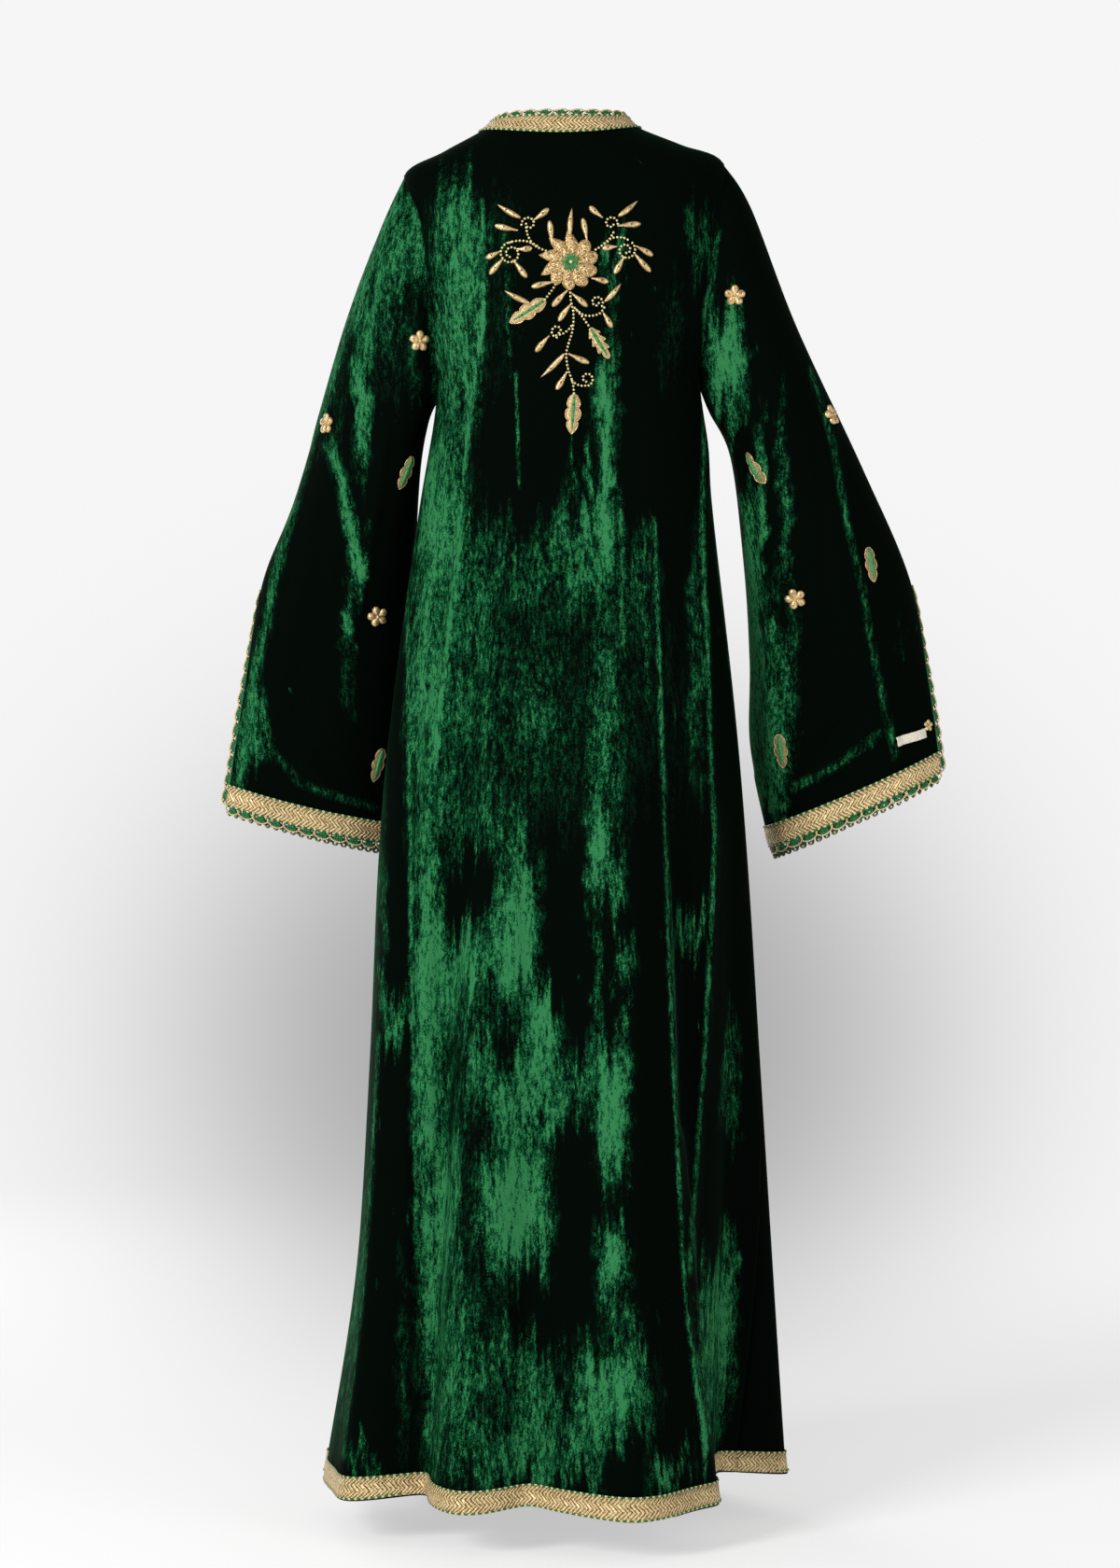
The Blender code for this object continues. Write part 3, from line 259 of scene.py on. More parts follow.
SLEEVE_FOLDS = {
    Side.LEFT: tuple(SleeveFold(*row) for row in (
        (75.0, -0.006, 20.0, 2.0), (118.0, 0.007, 20.0, 2.5), (262.0, -0.006, 22.0, 2.5),
    )),
    Side.RIGHT: tuple(SleeveFold(*row) for row in (
        (62.0, 0.009, 18.0, 3.5), (98.0, -0.007, 18.0, 2.5), (152.0, 0.008, 14.0, 3.0),
        (262.0, -0.006, 22.0, 2.5),
    )),
}

# Main creases of body and sleeves: height in metres (a ridge is positive), half width in
# photograph pixels and the route
BODY_CREASES = (
    Streak(0.0040, 5.0, ((700, 560), (706, 739), (712, 900), (716, 1027), (721, 1155),
                         (726, 1251), (734, 1400), (745, 1480), (757, 1560))),
    Streak(0.0036, 5.0, ((757, 420), (753, 580), (759, 707), (762, 835), (767, 900), (763, 964),
                         (759, 1059), (753, 1155), (747, 1235), (739, 1362))),
    Streak(-0.0050, 12.0, ((733, 620), (736, 900), (740, 1050), (736, 1200))),
    Streak(-0.0045, 7.0, ((499, 420), (492, 547), (476, 627), (465, 723), (448, 755), (441, 818),
                          (439, 880), (441, 1046), (444, 1211), (446, 1344), (451, 1400))),
    Streak(0.0030, 8.0, ((512, 430), (505, 547), (490, 640), (478, 730), (462, 800), (456, 900),
                         (458, 1046), (462, 1211), (466, 1400))),
    Streak(0.0022, 7.0, ((648, 350), (652, 470), (660, 620), (668, 760))),
    Streak(-0.0020, 9.0, ((630, 380), (634, 520), (640, 700), (648, 880))),
    Streak(0.0020, 8.0, ((560, 600), (552, 760), (548, 940), (556, 1100))),
    Streak(-0.0022, 12.0, ((600, 900), (612, 1020), (606, 1180), (622, 1350))),
    Streak(0.0024, 11.0, ((655, 1110), (660, 1250), (668, 1400), (676, 1540))),
    Streak(-0.0014, 3.5, ((552, 1079), (580, 1073), (604, 1076))),
    Streak(0.0014, 3.5, ((604, 1127), (632, 1122), (656, 1126))),
    Streak(-0.0012, 4.0, ((520, 1206), (556, 1198), (590, 1190))),
    Streak(-0.0016, 4.0, ((650, 1524), (690, 1530), (742, 1532))),
    Streak(0.0018, 6.0, ((470, 200), (486, 300), (484, 400))),
    Streak(-0.0018, 8.0, ((745, 200), (738, 300), (742, 420))),
)
SLEEVE_CREASES = {
    Side.LEFT: (
        Streak(0.0030, 7.0, ((326, 822), (352, 846), (388, 868), (410, 880))),
        Streak(-0.0026, 7.0, ((344, 812), (372, 834), (404, 850))),
        Streak(0.0030, 7.0, ((412, 470), (404, 540), (390, 620), (372, 700))),
        Streak(-0.0028, 9.0, ((392, 480), (380, 560), (364, 640))),
        Streak(0.0022, 8.0, ((368, 470), (340, 560), (318, 650), (300, 760))),
        Streak(-0.0022, 10.0, ((340, 480), (312, 580), (290, 680))),
        Streak(0.0016, 6.0, ((452, 230), (450, 320), (446, 420))),
    ),
    Side.RIGHT: (
        Streak(0.0030, 4.0, ((889, 443), (908, 558), (918, 600), (935, 680), (947, 738),
                             (960, 800))),
        Streak(0.0034, 8.0, ((792, 330), (806, 450), (820, 560), (828, 680), (826, 800))),
        Streak(-0.0032, 8.0, ((778, 330), (790, 450), (806, 560), (812, 700), (810, 820))),
        Streak(0.0026, 6.0, ((852, 852), (884, 832), (916, 796), (948, 764))),
        Streak(-0.0024, 7.0, ((846, 838), (872, 816), (900, 776))),
        Streak(0.0020, 8.0, ((836, 430), (846, 520), (852, 640), (850, 760))),
        Streak(-0.0018, 8.0, ((870, 430), (884, 560), (890, 700))),
    ),
}

# Painted sheen, partly crushed nap, where the velvet is painted bright; then painted shade, partly
# standing nap, where it stays dark
BODY_CRUSHED_SHEEN = tuple(Patch(*row) for row in (
    (458, 520, 196, 325, 0.52), (480, 519, 214, 345, 0.45), (462, 517, 300, 450, 0.62),
    (450, 502, 430, 660, 0.62), (446, 474, 470, 640, 0.55), (524, 560, 190, 420, 0.16),
    (436, 486, 620, 880, 0.70), (482, 530, 560, 880, 0.38), (636, 664, 372, 480, 0.70),
    (641, 657, 390, 640, 0.92), (626, 632, 455, 575, 0.65), (611, 618, 476, 515, 0.50),
    (645, 672, 256, 304, 0.58), (650, 662, 300, 372, 0.32), (735, 769, 220, 292, 0.36),
    (704, 735, 300, 420, 0.18), (498, 672, 556, 650, 0.32), (596, 662, 515, 640, 0.34),
    (662, 702, 560, 680, 0.28), (520, 600, 640, 860, 0.24), (632, 664, 690, 870, 0.32),
    (738, 754, 560, 840, 0.34), (556, 742, 640, 900, 0.20), (442, 474, 860, 1300, 0.86),
    (446, 470, 1300, 1440, 0.64),
    (474, 562, 850, 925, 0.34), (528, 580, 930, 1068, 0.96), (462, 530, 985, 1080, 0.78),
    (545, 562, 870, 960, 0.60), (558, 602, 1070, 1132, 0.98), (513, 607, 1130, 1208, 0.80),
    (474, 530, 1080, 1190, 0.44), (512, 594, 1228, 1362, 1.00), (462, 495, 1190, 1384, 0.76),
    (528, 582, 1200, 1244, 0.52), (592, 640, 1128, 1200, 0.44), (636, 677, 1112, 1260, 0.94),
    (636, 675, 1310, 1370, 0.86), (638, 682, 1366, 1422, 0.44), (628, 650, 868, 978, 0.94),
    (648, 673, 906, 966, 0.62), (635, 645, 1010, 1100, 0.68), (655, 689, 1004, 1048, 0.56),
    (664, 679, 1058, 1112, 0.52), (719, 757, 974, 1018, 0.82), (773, 795, 1080, 1222, 0.44),
    (746, 789, 1350, 1488, 0.88), (776, 791, 1294, 1372, 0.60), (744, 775, 1484, 1544, 0.50),
    (450, 516, 1378, 1590, 0.60), (547, 603, 1438, 1582, 0.62), (515, 552, 1396, 1562, 0.42),
    (606, 699, 1440, 1546, 0.80), (659, 696, 1436, 1520, 0.55), (685, 741, 1562, 1594, 0.80),
    (600, 650, 1540, 1594, 0.56), (503, 607, 1546, 1594, 0.52), (404, 438, 1054, 1110, 0.72),
    (424, 437, 1332, 1562, 0.46), (370, 413, 1548, 1582, 0.42), (405, 416, 880, 1060, 0.36),
))
# Painted shade, partly standing nap, in the folds and on the far side
BODY_STANDING_SHADE = tuple(Patch(*row) for row in (
    (475, 529, 912, 986, 0.92), (583, 632, 950, 1068, 0.97), (592, 636, 1208, 1438, 0.97),
    (677, 713, 850, 1440, 0.92), (720, 756, 1024, 1400, 0.92), (720, 750, 850, 966, 0.90),
    (590, 615, 1468, 1502, 0.86), (646, 695, 1550, 1596, 0.82), (698, 741, 1526, 1563, 0.86),
    (797, 860, 860, 1620, 0.97), (404, 439, 1112, 1560, 0.70), (554, 606, 1207, 1216, 0.80),
    (545, 602, 1368, 1432, 0.55), (520, 556, 1470, 1500, 0.50), (482, 500, 1120, 1180, 0.60),
))
# Painted sheen, partly crushed nap, along the crease ridges
BODY_SHEEN_STREAKS = (
    Streak(0.62, 2.6, ((702, 560), (708, 739), (713, 900), (717, 1027), (722, 1155), (727, 1251),
                       (735, 1400), (746, 1480), (758, 1560))),
    Streak(0.66, 2.8, ((770, 248), (763, 299), (755, 330), (755, 430), (753, 580), (759, 707),
                       (762, 835), (767, 900), (763, 964), (759, 1059), (753, 1155), (747, 1235),
                       (739, 1362))),
    Streak(0.50, 2.0, ((553, 400), (556, 520))), Streak(0.36, 2.2, ((540, 250), (546, 380))),
    Streak(0.45, 2.2, ((664, 520), (668, 700))), Streak(0.30, 2.4, ((690, 560), (694, 760))),
    Streak(0.55, 3.4, ((405, 1112), (398, 1250), (386, 1400), (366, 1560))),
    Streak(0.50, 2.4, ((752, 1500), (757, 1588))), Streak(0.55, 2.6, ((517, 214), (518, 343))),
    Streak(0.62, 2.6, ((518, 343), (508, 407), (497, 502), (490, 598), (478, 700), (466, 790))),
    Streak(0.50, 2.4, ((436, 640), (438, 800), (441, 1046), (444, 1211), (446, 1344))),
)
# Painted sheen of the sleeves, partly crushed nap
SLEEVE_CRUSHED_SHEEN = {
    Side.LEFT: tuple(Patch(*row) for row in (
        (408, 458, 200, 302, 0.56), (372, 416, 278, 356, 0.52), (377, 397, 350, 490, 0.78),
        (350, 372, 372, 470, 0.22), (368, 380, 630, 686, 0.74), (361, 381, 684, 752, 0.24),
        (253, 285, 752, 834, 0.60), (438, 453, 330, 424, 0.20), (372, 393, 560, 624, 0.60),
        (392, 440, 236, 430, 0.30),
    )),
    Side.RIGHT: tuple(Patch(*row) for row in (
        (758, 799, 334, 440, 0.96), (775, 790, 436, 498, 0.56), (811, 821, 442, 624, 0.78),
        (792, 813, 526, 778, 0.84), (830, 844, 434, 584, 0.36), (837, 850, 518, 624, 0.42),
        (800, 845, 638, 874, 0.68), (804, 840, 812, 892, 0.62), (840, 857, 630, 800, 0.26),
        (960, 972, 672, 700, 0.25),
    )),
}
# Painted shade of the sleeves, partly standing nap
SLEEVE_STANDING_SHADE = {
    Side.LEFT: (),
    Side.RIGHT: (Patch(825, 845, 650, 694, 0.86), Patch(812, 823, 640, 662, 0.60),
                 Patch(821, 838, 730, 762, 0.50)),
}
# Painted sheen of the sleeves, partly crushed nap, along their creases
SLEEVE_SHEEN_STREAKS = {
    Side.LEFT: (
        Streak(0.55, 6.5, ((429, 190), (393, 290), (374, 341), (345, 437), (335, 466), (316, 533),
                           (297, 605), (283, 676), (268, 740), (254, 838))),
        Streak(0.82, 6.5, ((352, 475), (366, 514), (374, 561), (388, 619))),
        Streak(0.32, 5.0, ((273, 743), (292, 805), (321, 839), (374, 858), (417, 868))),
        Streak(0.42, 4.2, ((445, 226), (455, 265), (460, 303), (464, 360), (467, 432))),
    ),
    Side.RIGHT: (
        Streak(0.50, 4.2, ((769, 248), (761, 308), (757, 341))),
        Streak(0.40, 4.2, ((869, 399), (893, 475), (907, 557), (924, 628), (931, 676), (946, 748),
                           (960, 812))),
        Streak(0.42, 5.0, ((850, 844), (898, 820), (941, 786))),
        Streak(0.44, 4.2, ((793, 533), (808, 640), (806, 850))),
    ),
}
# How the back passes into the front, how near a side the listed patches fade out, both as
# shares of the normal's Y, and how far the front's places are shifted in photograph pixels
BACK_REACH = 0.35
SIDE_REACH = 0.42
FRONT_SHIFT = (44.0, 70.0)
# The plain drift of the painted sheen, partly crushed nap, at the sides: its middle and its swing
SIDE_DRIFT, SIDE_SWING = 0.36, 0.30
# Waves that fray the ends of patches: length and reach in photograph pixels, and start
WANDER = ((61.0, 5.0, 0.4), (29.0, 5.0, 2.1), (15.0, 5.0, 4.0), (8.0, 4.0, 1.2), (4.6, 3.0, 3.3))

# Back motif: the middle of its flower in metres. The tables after it are in millimetres from
# there, across to the right as seen and up
MOTIF_X, MOTIF_Z = -0.0121, -0.159


class Drop(NamedTuple):
    """A padded drop or leaf of the motif: root, angle in degrees and length."""

    across: float
    up: float
    angle: float
    length: float


DROPS = tuple(Drop(*row) for row in (
    (-56, 50, 155, 31), (-42, 47, 34, 22), (-59, 36, 169, 27), (-61, 15, -2, 18),
    (-79, 13, -152, 18), (-75, 5, -135, 24), (-65, 3, -50, 26), (-21, 19, 94, 28),
    (-1, 29, 92, 32), (18, 24, 98, 26), (36, 50, 143, 20), (53, 52, 33, 29), (52, 41, 9, 27),
    (52, 18, -174, 17), (73, 19, -25, 22), (71, 11, -50, 28), (60, 7, -117, 23),
    (-18, -22, -170, 27), (23, -18, -9, 20), (-3, -31, -136, 26), (1, -35, -37, 23),
    (1, -46, -129, 25), (-46, -46, 159, 32), (38, -44, 41, 28), (36, -56, -56, 20),
    (-24, -82, -133, 24), (-7, -102, -130, 38), (-3, -102, -26, 26), (-4, -122, -118, 24),
))
LONG_DROPS = (0, 8, 11, 22, 23, 26)
ROUND_LEAVES = (Drop(-29, -43, -148, 46), Drop(4, -148, -94, 44))
JAGGED_LEAF = Drop(22, -74, -58, 39)
STEMS = (
    ((-1, -20), (0, -42), (3, -57), (2, -76), (-3, -93), (-5, -104), (-3, -119), (2, -134),
     (4, -150)),
    ((-26, 12), (-34, 15), (-42, 20), (-48, 30), (-50, 40)),
    ((-36, 17), (-48, 23), (-60, 24), (-70, 22)),
    ((26, 13), (34, 18), (42, 24), (48, 34)),
    ((36, 20), (46, 27), (58, 28), (67, 24)),
    ((-14, -20), (-20, -30), (-29, -42)),
    ((3, -50), (12, -60), (22, -74)),
    ((5, -52), (14, -59), (24, -60), (33, -57), (38, -50)),
    ((2, -70), (-3, -76), (-9, -80), (-17, -82)),
    ((0, -131), (6, -136), (13, -138), (20, -137)),
)


class Spiral(NamedTuple):
    """A beaded curl: middle, outer radius, first angle and turn in degrees."""

    across: float
    up: float
    radius: float
    start: float
    turn: float


SPIRALS = (
    Spiral(-47, 43, 8.5, 200, -430), Spiral(-67, 10, 13.0, 80, 560),
    Spiral(45, 44, 8.0, -20, 430),
    Spiral(62, 14, 11.0, 60, -520), Spiral(29, -45, 7.5, -50, 430),
    Spiral(-15, -77, 7.5, -80, -400), Spiral(18, -130, 8.0, -90, 430),
)

# Small appliques of the sleeves: X, Z and lean in degrees
FLOWERS = {
    "flower_left_1": (0.159, -0.242, 0.0), "flower_left_2": (0.268, -0.330, 0.0),
    "flower_left_3": (0.211, -0.550, 20.0), "flower_right_1": (-0.198, -0.191, 0.0),
    "flower_right_2": (-0.312, -0.3216, 10.0), "flower_right_3": (-0.2694, -0.532, 20.0),
}
LEAVES = {
    "leaf_left_1": (0.1765, -0.388, -12.0), "leaf_left_2": (0.213, -0.722, -10.0),
    "leaf_right_1": (-0.221, -0.385, 22.0), "leaf_right_2": (-0.3567, -0.4925, 12.0),
    "leaf_right_3": (-0.2558, -0.706, 4.0),
}


def unit(vectors: Array) -> Array:
    """Return vectors at length one."""
    return vectors / np.maximum(np.linalg.norm(vectors, axis=-1, keepdims=True), 1e-12)


def run_along(points: Array) -> Array:
    """Return the length of a line up to each of its points."""
    steps = np.linalg.norm(np.diff(points, axis=0), axis=1)
    return np.concatenate([[0.0], np.cumsum(steps)])


def full_turn(count: int) -> Array:
    """Return angles in radians evenly round a circle."""
    return 2.0 * math.pi * np.arange(count) / count


def blended(at: Array, run: Array, table: Array) -> Array:
    """Return rows of a table of vectors at places between its own."""
    return np.stack([np.interp(at, run, table[:, axis]) for axis in range(3)], -1)


def smooth_step(values: Array) -> Array:
    """Return a soft step from 0 to 1."""
    values = np.clip(values, 0.0, 1.0)
    return values * values * (3.0 - 2.0 * values)


def read_rows(table: Sequence[Sequence[float]], position: Array) -> Array:
    """Read a table of sections at fractional rows, through a Catmull-Rom curve.

    Args:
        table: The sections, top first.
        position: Fractional rows.

    Returns:
        The values, with the table's columns as the last axis.
    """
    rows = np.array(table)
    index = np.clip(position.astype(int), 0, len(rows) - 2)
    share = (position - index)[..., None]
    before, start = rows[np.maximum(index - 1, 0)], rows[index]
    end, after = rows[index + 1], rows[np.minimum(index + 2, len(rows) - 1)]
    return 0.5 * (2.0 * start + (end - before) * share
                  + (2.0 * before - 5.0 * start + 4.0 * end - after) * share ** 2
                  + (3.0 * start - before - 3.0 * end + after) * share ** 3)


def photo_places(points: Array, front: bool = False, mirrored: bool = True) -> Array:
    """Return where points show in the photograph's frame, or similar places from the front.

    Args:
        points: Points in metres.
        front: True for the hidden side, whose places are shifted.
        mirrored: True to mirror the hidden side's places too.

    Returns:
        Pixel places, X to the right and Y down.
    """
    turn = -1.0 if front else 1.0
    scale = FOCAL / (CAMERA_Y - turn * points[..., 1])
    across = MIDDLE_X - points[..., 0] * scale
    down = MIDDLE_Y - (points[..., 2] - CAMERA_Z) * scale
    if front and mirrored:
        across = 2.0 * MIDDLE_X - across + FRONT_SHIFT[0]
    if front:
        down = down + FRONT_SHIFT[1]
    return np.stack([across, down], -1)


def route_distance(places: Array, route: Route) -> Array:
    """Return how far places lie from a route, in its own units."""
    best = np.full(places.shape[:-1], np.inf)
    corners = np.array(route, dtype=float)
    for start, end in zip(corners[:-1], corners[1:]):
        way = end - start
        share = np.clip(((places - start) @ way) / (way @ way), 0.0, 1.0)
        away = np.linalg.norm(places - (start + share[..., None] * way), axis=-1)
        best = np.minimum(best, away)
    return best


def creased(points: Array, normals: Array, creases: Sequence[Streak],
            mirrored: bool = True) -> Array:
    """Return cloth points with the creases raised or sunk along the normals.

    Args:
        points: Grid of cloth points.
        normals: Outward normals.
        creases: Crease routes seen from behind; the hidden side has similar ones.
        mirrored: True to mirror them on the hidden side.

    Returns:
        The moved points.
    """
    back = smooth_step(1.0 + normals[..., 1] / BACK_REACH)
    offset = np.zeros(points.shape[:-1])
    for front, weight in ((False, back), (True, 1.0 - back)):
        places = photo_places(points, front, mirrored)
        for crease in creases:
            away = route_distance(places, crease.route) / crease.half_width
            offset += weight * crease.strength * np.exp(-away ** 2)
    return points + normals * offset[..., None]


def wandered(places: Array) -> Array:
    """Return places shifted by a few smooth waves, mostly down the cloth, so that ends fray."""
    x, y = places[..., 0], places[..., 1]
    across, down = np.zeros_like(x), np.zeros_like(y)
    for length, reach, start in WANDER:
        turn = 2.0 * math.pi / length
        across += 0.34 * reach * np.sin(turn * (y * 0.45 + x * 0.20) + start)
        down += 2.2 * reach * np.sin(turn * (x + 0.04 * y) + 2.0 * start)
    return np.stack([x + across, y + down], axis=-1)


def pile_of(points: Array, normals: Array, bright: Sequence[Patch], dark: Sequence[Patch],
            streaks: Sequence[Streak], mirrored: bool = True) -> Array:
    """Return the painted sheen, partly crushed nap, at each point, from 0 to 1.

    Args:
        points: Grid of cloth points.
        normals: Outward normals.
        bright: Patches of painted sheen, partly crushed nap.
        dark: Patches of painted shade, partly standing nap.
        streaks: Lines of painted sheen, partly crushed nap.
        mirrored: True to mirror them on the hidden side.

    Returns:
        The painted sheen, partly crushed nap, at each point.
    """
    back = smooth_step(1.0 + normals[..., 1] / BACK_REACH)
    total = np.zeros(points.shape[:-1])
    for front, weight in ((False, back), (True, 1.0 - back)):
        places = photo_places(points, front, mirrored)
        moved = wandered(places)
        left = np.ones(points.shape[:-1])
        for patch in bright:
            left *= 1.0 - patch.cover(moved)
        for patch in dark:
            left = 1.0 - (1.0 - left) * (1.0 - patch.cover(moved))
        for streak in streaks:
            away = route_distance(places, streak.route) / streak.half_width
            left *= 1.0 - streak.strength * np.exp(-away ** 2)
        total += weight * (1.0 - left)
    if mirrored:
        side = 1.0 - smooth_step(np.abs(normals[..., 1]) / SIDE_REACH)
        x, y, z = np.moveaxis(points, -1, 0)
        swing = np.sin(9.0 * z + 22.0 * y) * np.sin(31.0 * y - 4.0 * z + 5.0 * x)
        total += side * (SIDE_DRIFT + SIDE_SWING * swing - total)
    return total


class Graph:
    """A node graph, made one node at a time."""

    def __init__(self, tree: bpy.types.NodeTree) -> None:
        self.tree = tree

    def add(self, kind: str, inputs: dict | None = None, **settings: object) -> bpy.types.Node:
        """Add a node, with its settings, and its inputs as values or sockets."""
        node = self.tree.nodes.new("ShaderNode" + kind)
        for key, value in settings.items():
            setattr(node, key, value)
        for key, value in (inputs or {}).items():
            if isinstance(value, Socket):
                self.tree.links.new(value, node.inputs[key])
            else:
                node.inputs[key].default_value = value
        return node

    def math(self, operation: str, first: Socket | float, second: Socket | float = 0.0) -> Socket:
        """Return the result of a math node."""
        return self.add("Math", {0: first, 1: second}, operation=operation).outputs[0]

    def plus(self, first: Socket, second: Socket | float) -> Socket:
        """Return a sum."""
        return self.math("ADD", first, second)

    def times(self, first: Socket, second: Socket | float) -> Socket:
        """Return a product."""
        return self.math("MULTIPLY", first, second)

    def minus(self, first: Socket | float, second: Socket | float) -> Socket:
        """Return a difference."""
        return self.math("SUBTRACT", first, second)

    def over(self, first: Socket | float, second: Socket | float) -> Socket:
        """Return a quotient."""
        return self.math("DIVIDE", first, second)

    def noise(self, vector: Socket, scale: float, detail: float = 2.0) -> Socket:
        """Return a noise between about -0.5 and 0.5."""
        made = self.add("TexNoise", {"Vector": vector, "Scale": scale, "Detail": detail})
        return self.minus(made.outputs[0], 0.5)

    def ramp(self, factor: Socket, stops: Sequence[tuple[float, Colour]]) -> Socket:
        """Return a colour ramp's colour."""
        node = self.add("ValToRGB", {0: factor})
        while len(node.color_ramp.elements) < len(stops):
            node.color_ramp.elements.new(0.5)
        for element, (place, colour) in zip(node.color_ramp.elements, stops):
            element.position = place
            element.color = (*colour, 1.0)
        return node.outputs[0]

    def stretched(self, vector: Socket, scale: Colour) -> Socket:
        """Return a vector scaled by a mapping."""
        return self.add("Mapping", {"Vector": vector, "Scale": scale}).outputs[0]

    def step(self, value: Socket, low: float, high: float) -> Socket:
        """Return a soft step between two values."""
        return self.add("MapRange", {"Value": value, "From Min": low, "From Max": high},
                        interpolation_type="SMOOTHSTEP").outputs[0]

    def objects(self) -> Socket:
        """Return the Object coordinates."""
        return self.add("TexCoord").outputs["Object"]

    def uv(self) -> tuple[Socket, Socket]:
        """Return the two UV coordinates, in metres."""
        made = self.add("SeparateXYZ", {0: self.add("TexCoord").outputs["UV"]})
        return made.outputs[0], made.outputs[1]


class MaterialGraph(Graph):
    """The graph of a new Principled material."""

    def __init__(self, name: str, **sockets: float | Colour) -> None:
        self.material = bpy.data.materials.new(name)
        self.material.use_nodes = True
        super().__init__(self.material.node_tree)
        self.shader = self.tree.nodes["Principled BSDF"]
        for key, value in sockets.items():
            socket = self.shader.inputs[key.replace("_", " ")]
            socket.default_value = (*value, 1.0) if isinstance(value, tuple) else value

    def finish(self, colour: Socket, height: Socket, strength: float,
               distance: float) -> Material:
        """Connect the colour and a bump of that height in metres, and return the material."""
        bump = self.add("Bump", {"Height": height, "Strength": strength, "Distance": distance})
        self.tree.links.new(colour, self.shader.inputs["Base Color"])
        self.tree.links.new(bump.outputs[0], self.shader.inputs["Normal"])
        return self.material


@dataclass(frozen=True)
class Velvet:
    """Crushed velvet: near black where the nap stands, bright where its painted sheen, partly
    crushed nap, is high.
    """

    # From standing to crushed nap; every colour past the first carries painted sheen as well as
    # nap
    standing: Colour = (0.0003, 0.0016, 0.0007)
    turning: Colour = (0.0006, 0.0110, 0.0040)
    leaning: Colour = (0.0020, 0.0400, 0.0130)
    lying: Colour = (0.0090, 0.0900, 0.0300)
    crushed: Colour = (0.0260, 0.1650, 0.0580)
    streak_scale: Colour = (110.0, 110.0, 24.0)
    fleck_scale: Colour = (330.0, 330.0, 110.0)
    grain_scale: Colour = (800.0, 800.0, 560.0)

    def material(self) -> Material:
        """Return the velvet's material."""
        graph = MaterialGraph("velvet_crushed", Roughness=0.85, Specular_IOR_Level=0.02,
                              Sheen_Weight=0.03, Sheen_Roughness=0.30,
                              Sheen_Tint=(0.05, 0.55, 0.20))
        place = graph.objects()
        streak = graph.noise(graph.stretched(place, self.streak_scale), 1.0, 3.0)
        fleck = graph.noise(graph.stretched(place, self.fleck_scale), 1.0, 2.0)
        grain = graph.noise(graph.stretched(place, self.grain_scale), 1.0, 1.0)
        # Painted sheen, partly crushed nap, kept on the cloth's points
        pile = graph.add("Attribute", attribute_name="pile").outputs["Fac"]
        lively = graph.plus(graph.step(pile, 0.0, 0.35), 0.12)
        stir = graph.plus(graph.times(streak, 1.05), graph.times(fleck, 1.35))
        stir = graph.plus(stir, graph.times(grain, 1.10))
        state = graph.plus(pile, graph.times(stir, lively))
        # The ramp turns the painted sheen, partly crushed nap, into colour: near black where low,
        # bright green where high
        colour = graph.ramp(state, ((0.10, self.standing), (0.30, self.turning),
                                    (0.50, self.leaning), (0.70, self.lying),
                                    (0.88, self.crushed)))
        height = graph.plus(graph.times(fleck, 0.7), graph.times(grain, 0.3))
        return graph.finish(colour, height, 0.35, 0.0010)


@dataclass(frozen=True)
class WovenBraid:
    """Flat herringbone braid of metal thread, its pattern on the braid's own UV map in metres,
    with painted shade in its hollows and painted glints.
    """

    # Painted shade in the weave's hollows, the thread's own colour, and a painted highlight
    hollow: Colour = (0.120, 0.066, 0.018)
    thread: Colour = (0.500, 0.340, 0.125)
    gleam: Colour = (0.850, 0.690, 0.400)
    pitch: float = 0.0050
    chevron: float = 0.0077
    thread_width: float = 0.0030

    def material(self) -> Material:
        """Return the braid's material."""
        graph = MaterialGraph("braid_gold", Roughness=0.46, Metallic=0.30, Specular_IOR_Level=0.5)
        along, across = graph.uv()
        slanted = graph.plus(along, graph.math("PINGPONG", across, self.chevron))
        turn = 2.0 * math.pi
        strand = graph.math("SINE", graph.times(slanted, turn / self.pitch))
        stitch = graph.math("SINE", graph.times(graph.minus(along, across),
                                                turn / self.thread_width))
        relief = graph.plus(graph.times(strand, 0.55), graph.times(stitch, 0.30))
        place = graph.objects()
        # Painted glints: a fine speckle of highlights; wear below is random tone
        painted_glint = graph.noise(place, 440.0, 1.0)
        wear = graph.noise(place, 60.0, 2.0)
        level = graph.plus(graph.times(relief, 0.62), graph.times(painted_glint, 1.5))
        level = graph.plus(graph.plus(level, graph.times(wear, 0.3)), 0.5)
        # The weave's relief paints shade into its hollows and the glints paint highlights
        colour = graph.ramp(level, ((0.05, self.hollow), (0.45, self.thread), (0.9, self.gleam)))
        return graph.finish(colour, relief, 0.9, 0.0008)


@dataclass(frozen=True)
class TwistedCord:
    """A two-coloured twisted thread, its turns on the cord's own UV map in metres."""

    name: str
    first: Colour
    second: Colour
    pitch: float
    share: float = 0.0
    roughness: float = 0.5
    metallic: float = 0.0
    ply: float = 0.0016

    def material(self) -> Material:
        """Return the thread's material."""
        graph = MaterialGraph(self.name, Roughness=self.roughness, Metallic=self.metallic,
                              Specular_IOR_Level=0.4)
        along, around = graph.uv()
        turn = 2.0 * math.pi
        wave = graph.math("SINE", graph.times(along, turn / self.pitch))
        mix = graph.step(wave, self.share - 0.15, self.share + 0.15)
        spun = graph.plus(graph.times(along, turn / self.ply), graph.times(around, turn))
        relief = graph.math("SINE", spun)
        shade = graph.plus(mix, graph.times(graph.noise(graph.objects(), 700.0), 0.3))
        colour = graph.ramp(shade, ((0.15, self.first), (0.85, self.second)))
        return graph.finish(colour, relief, 0.6, 0.0002)


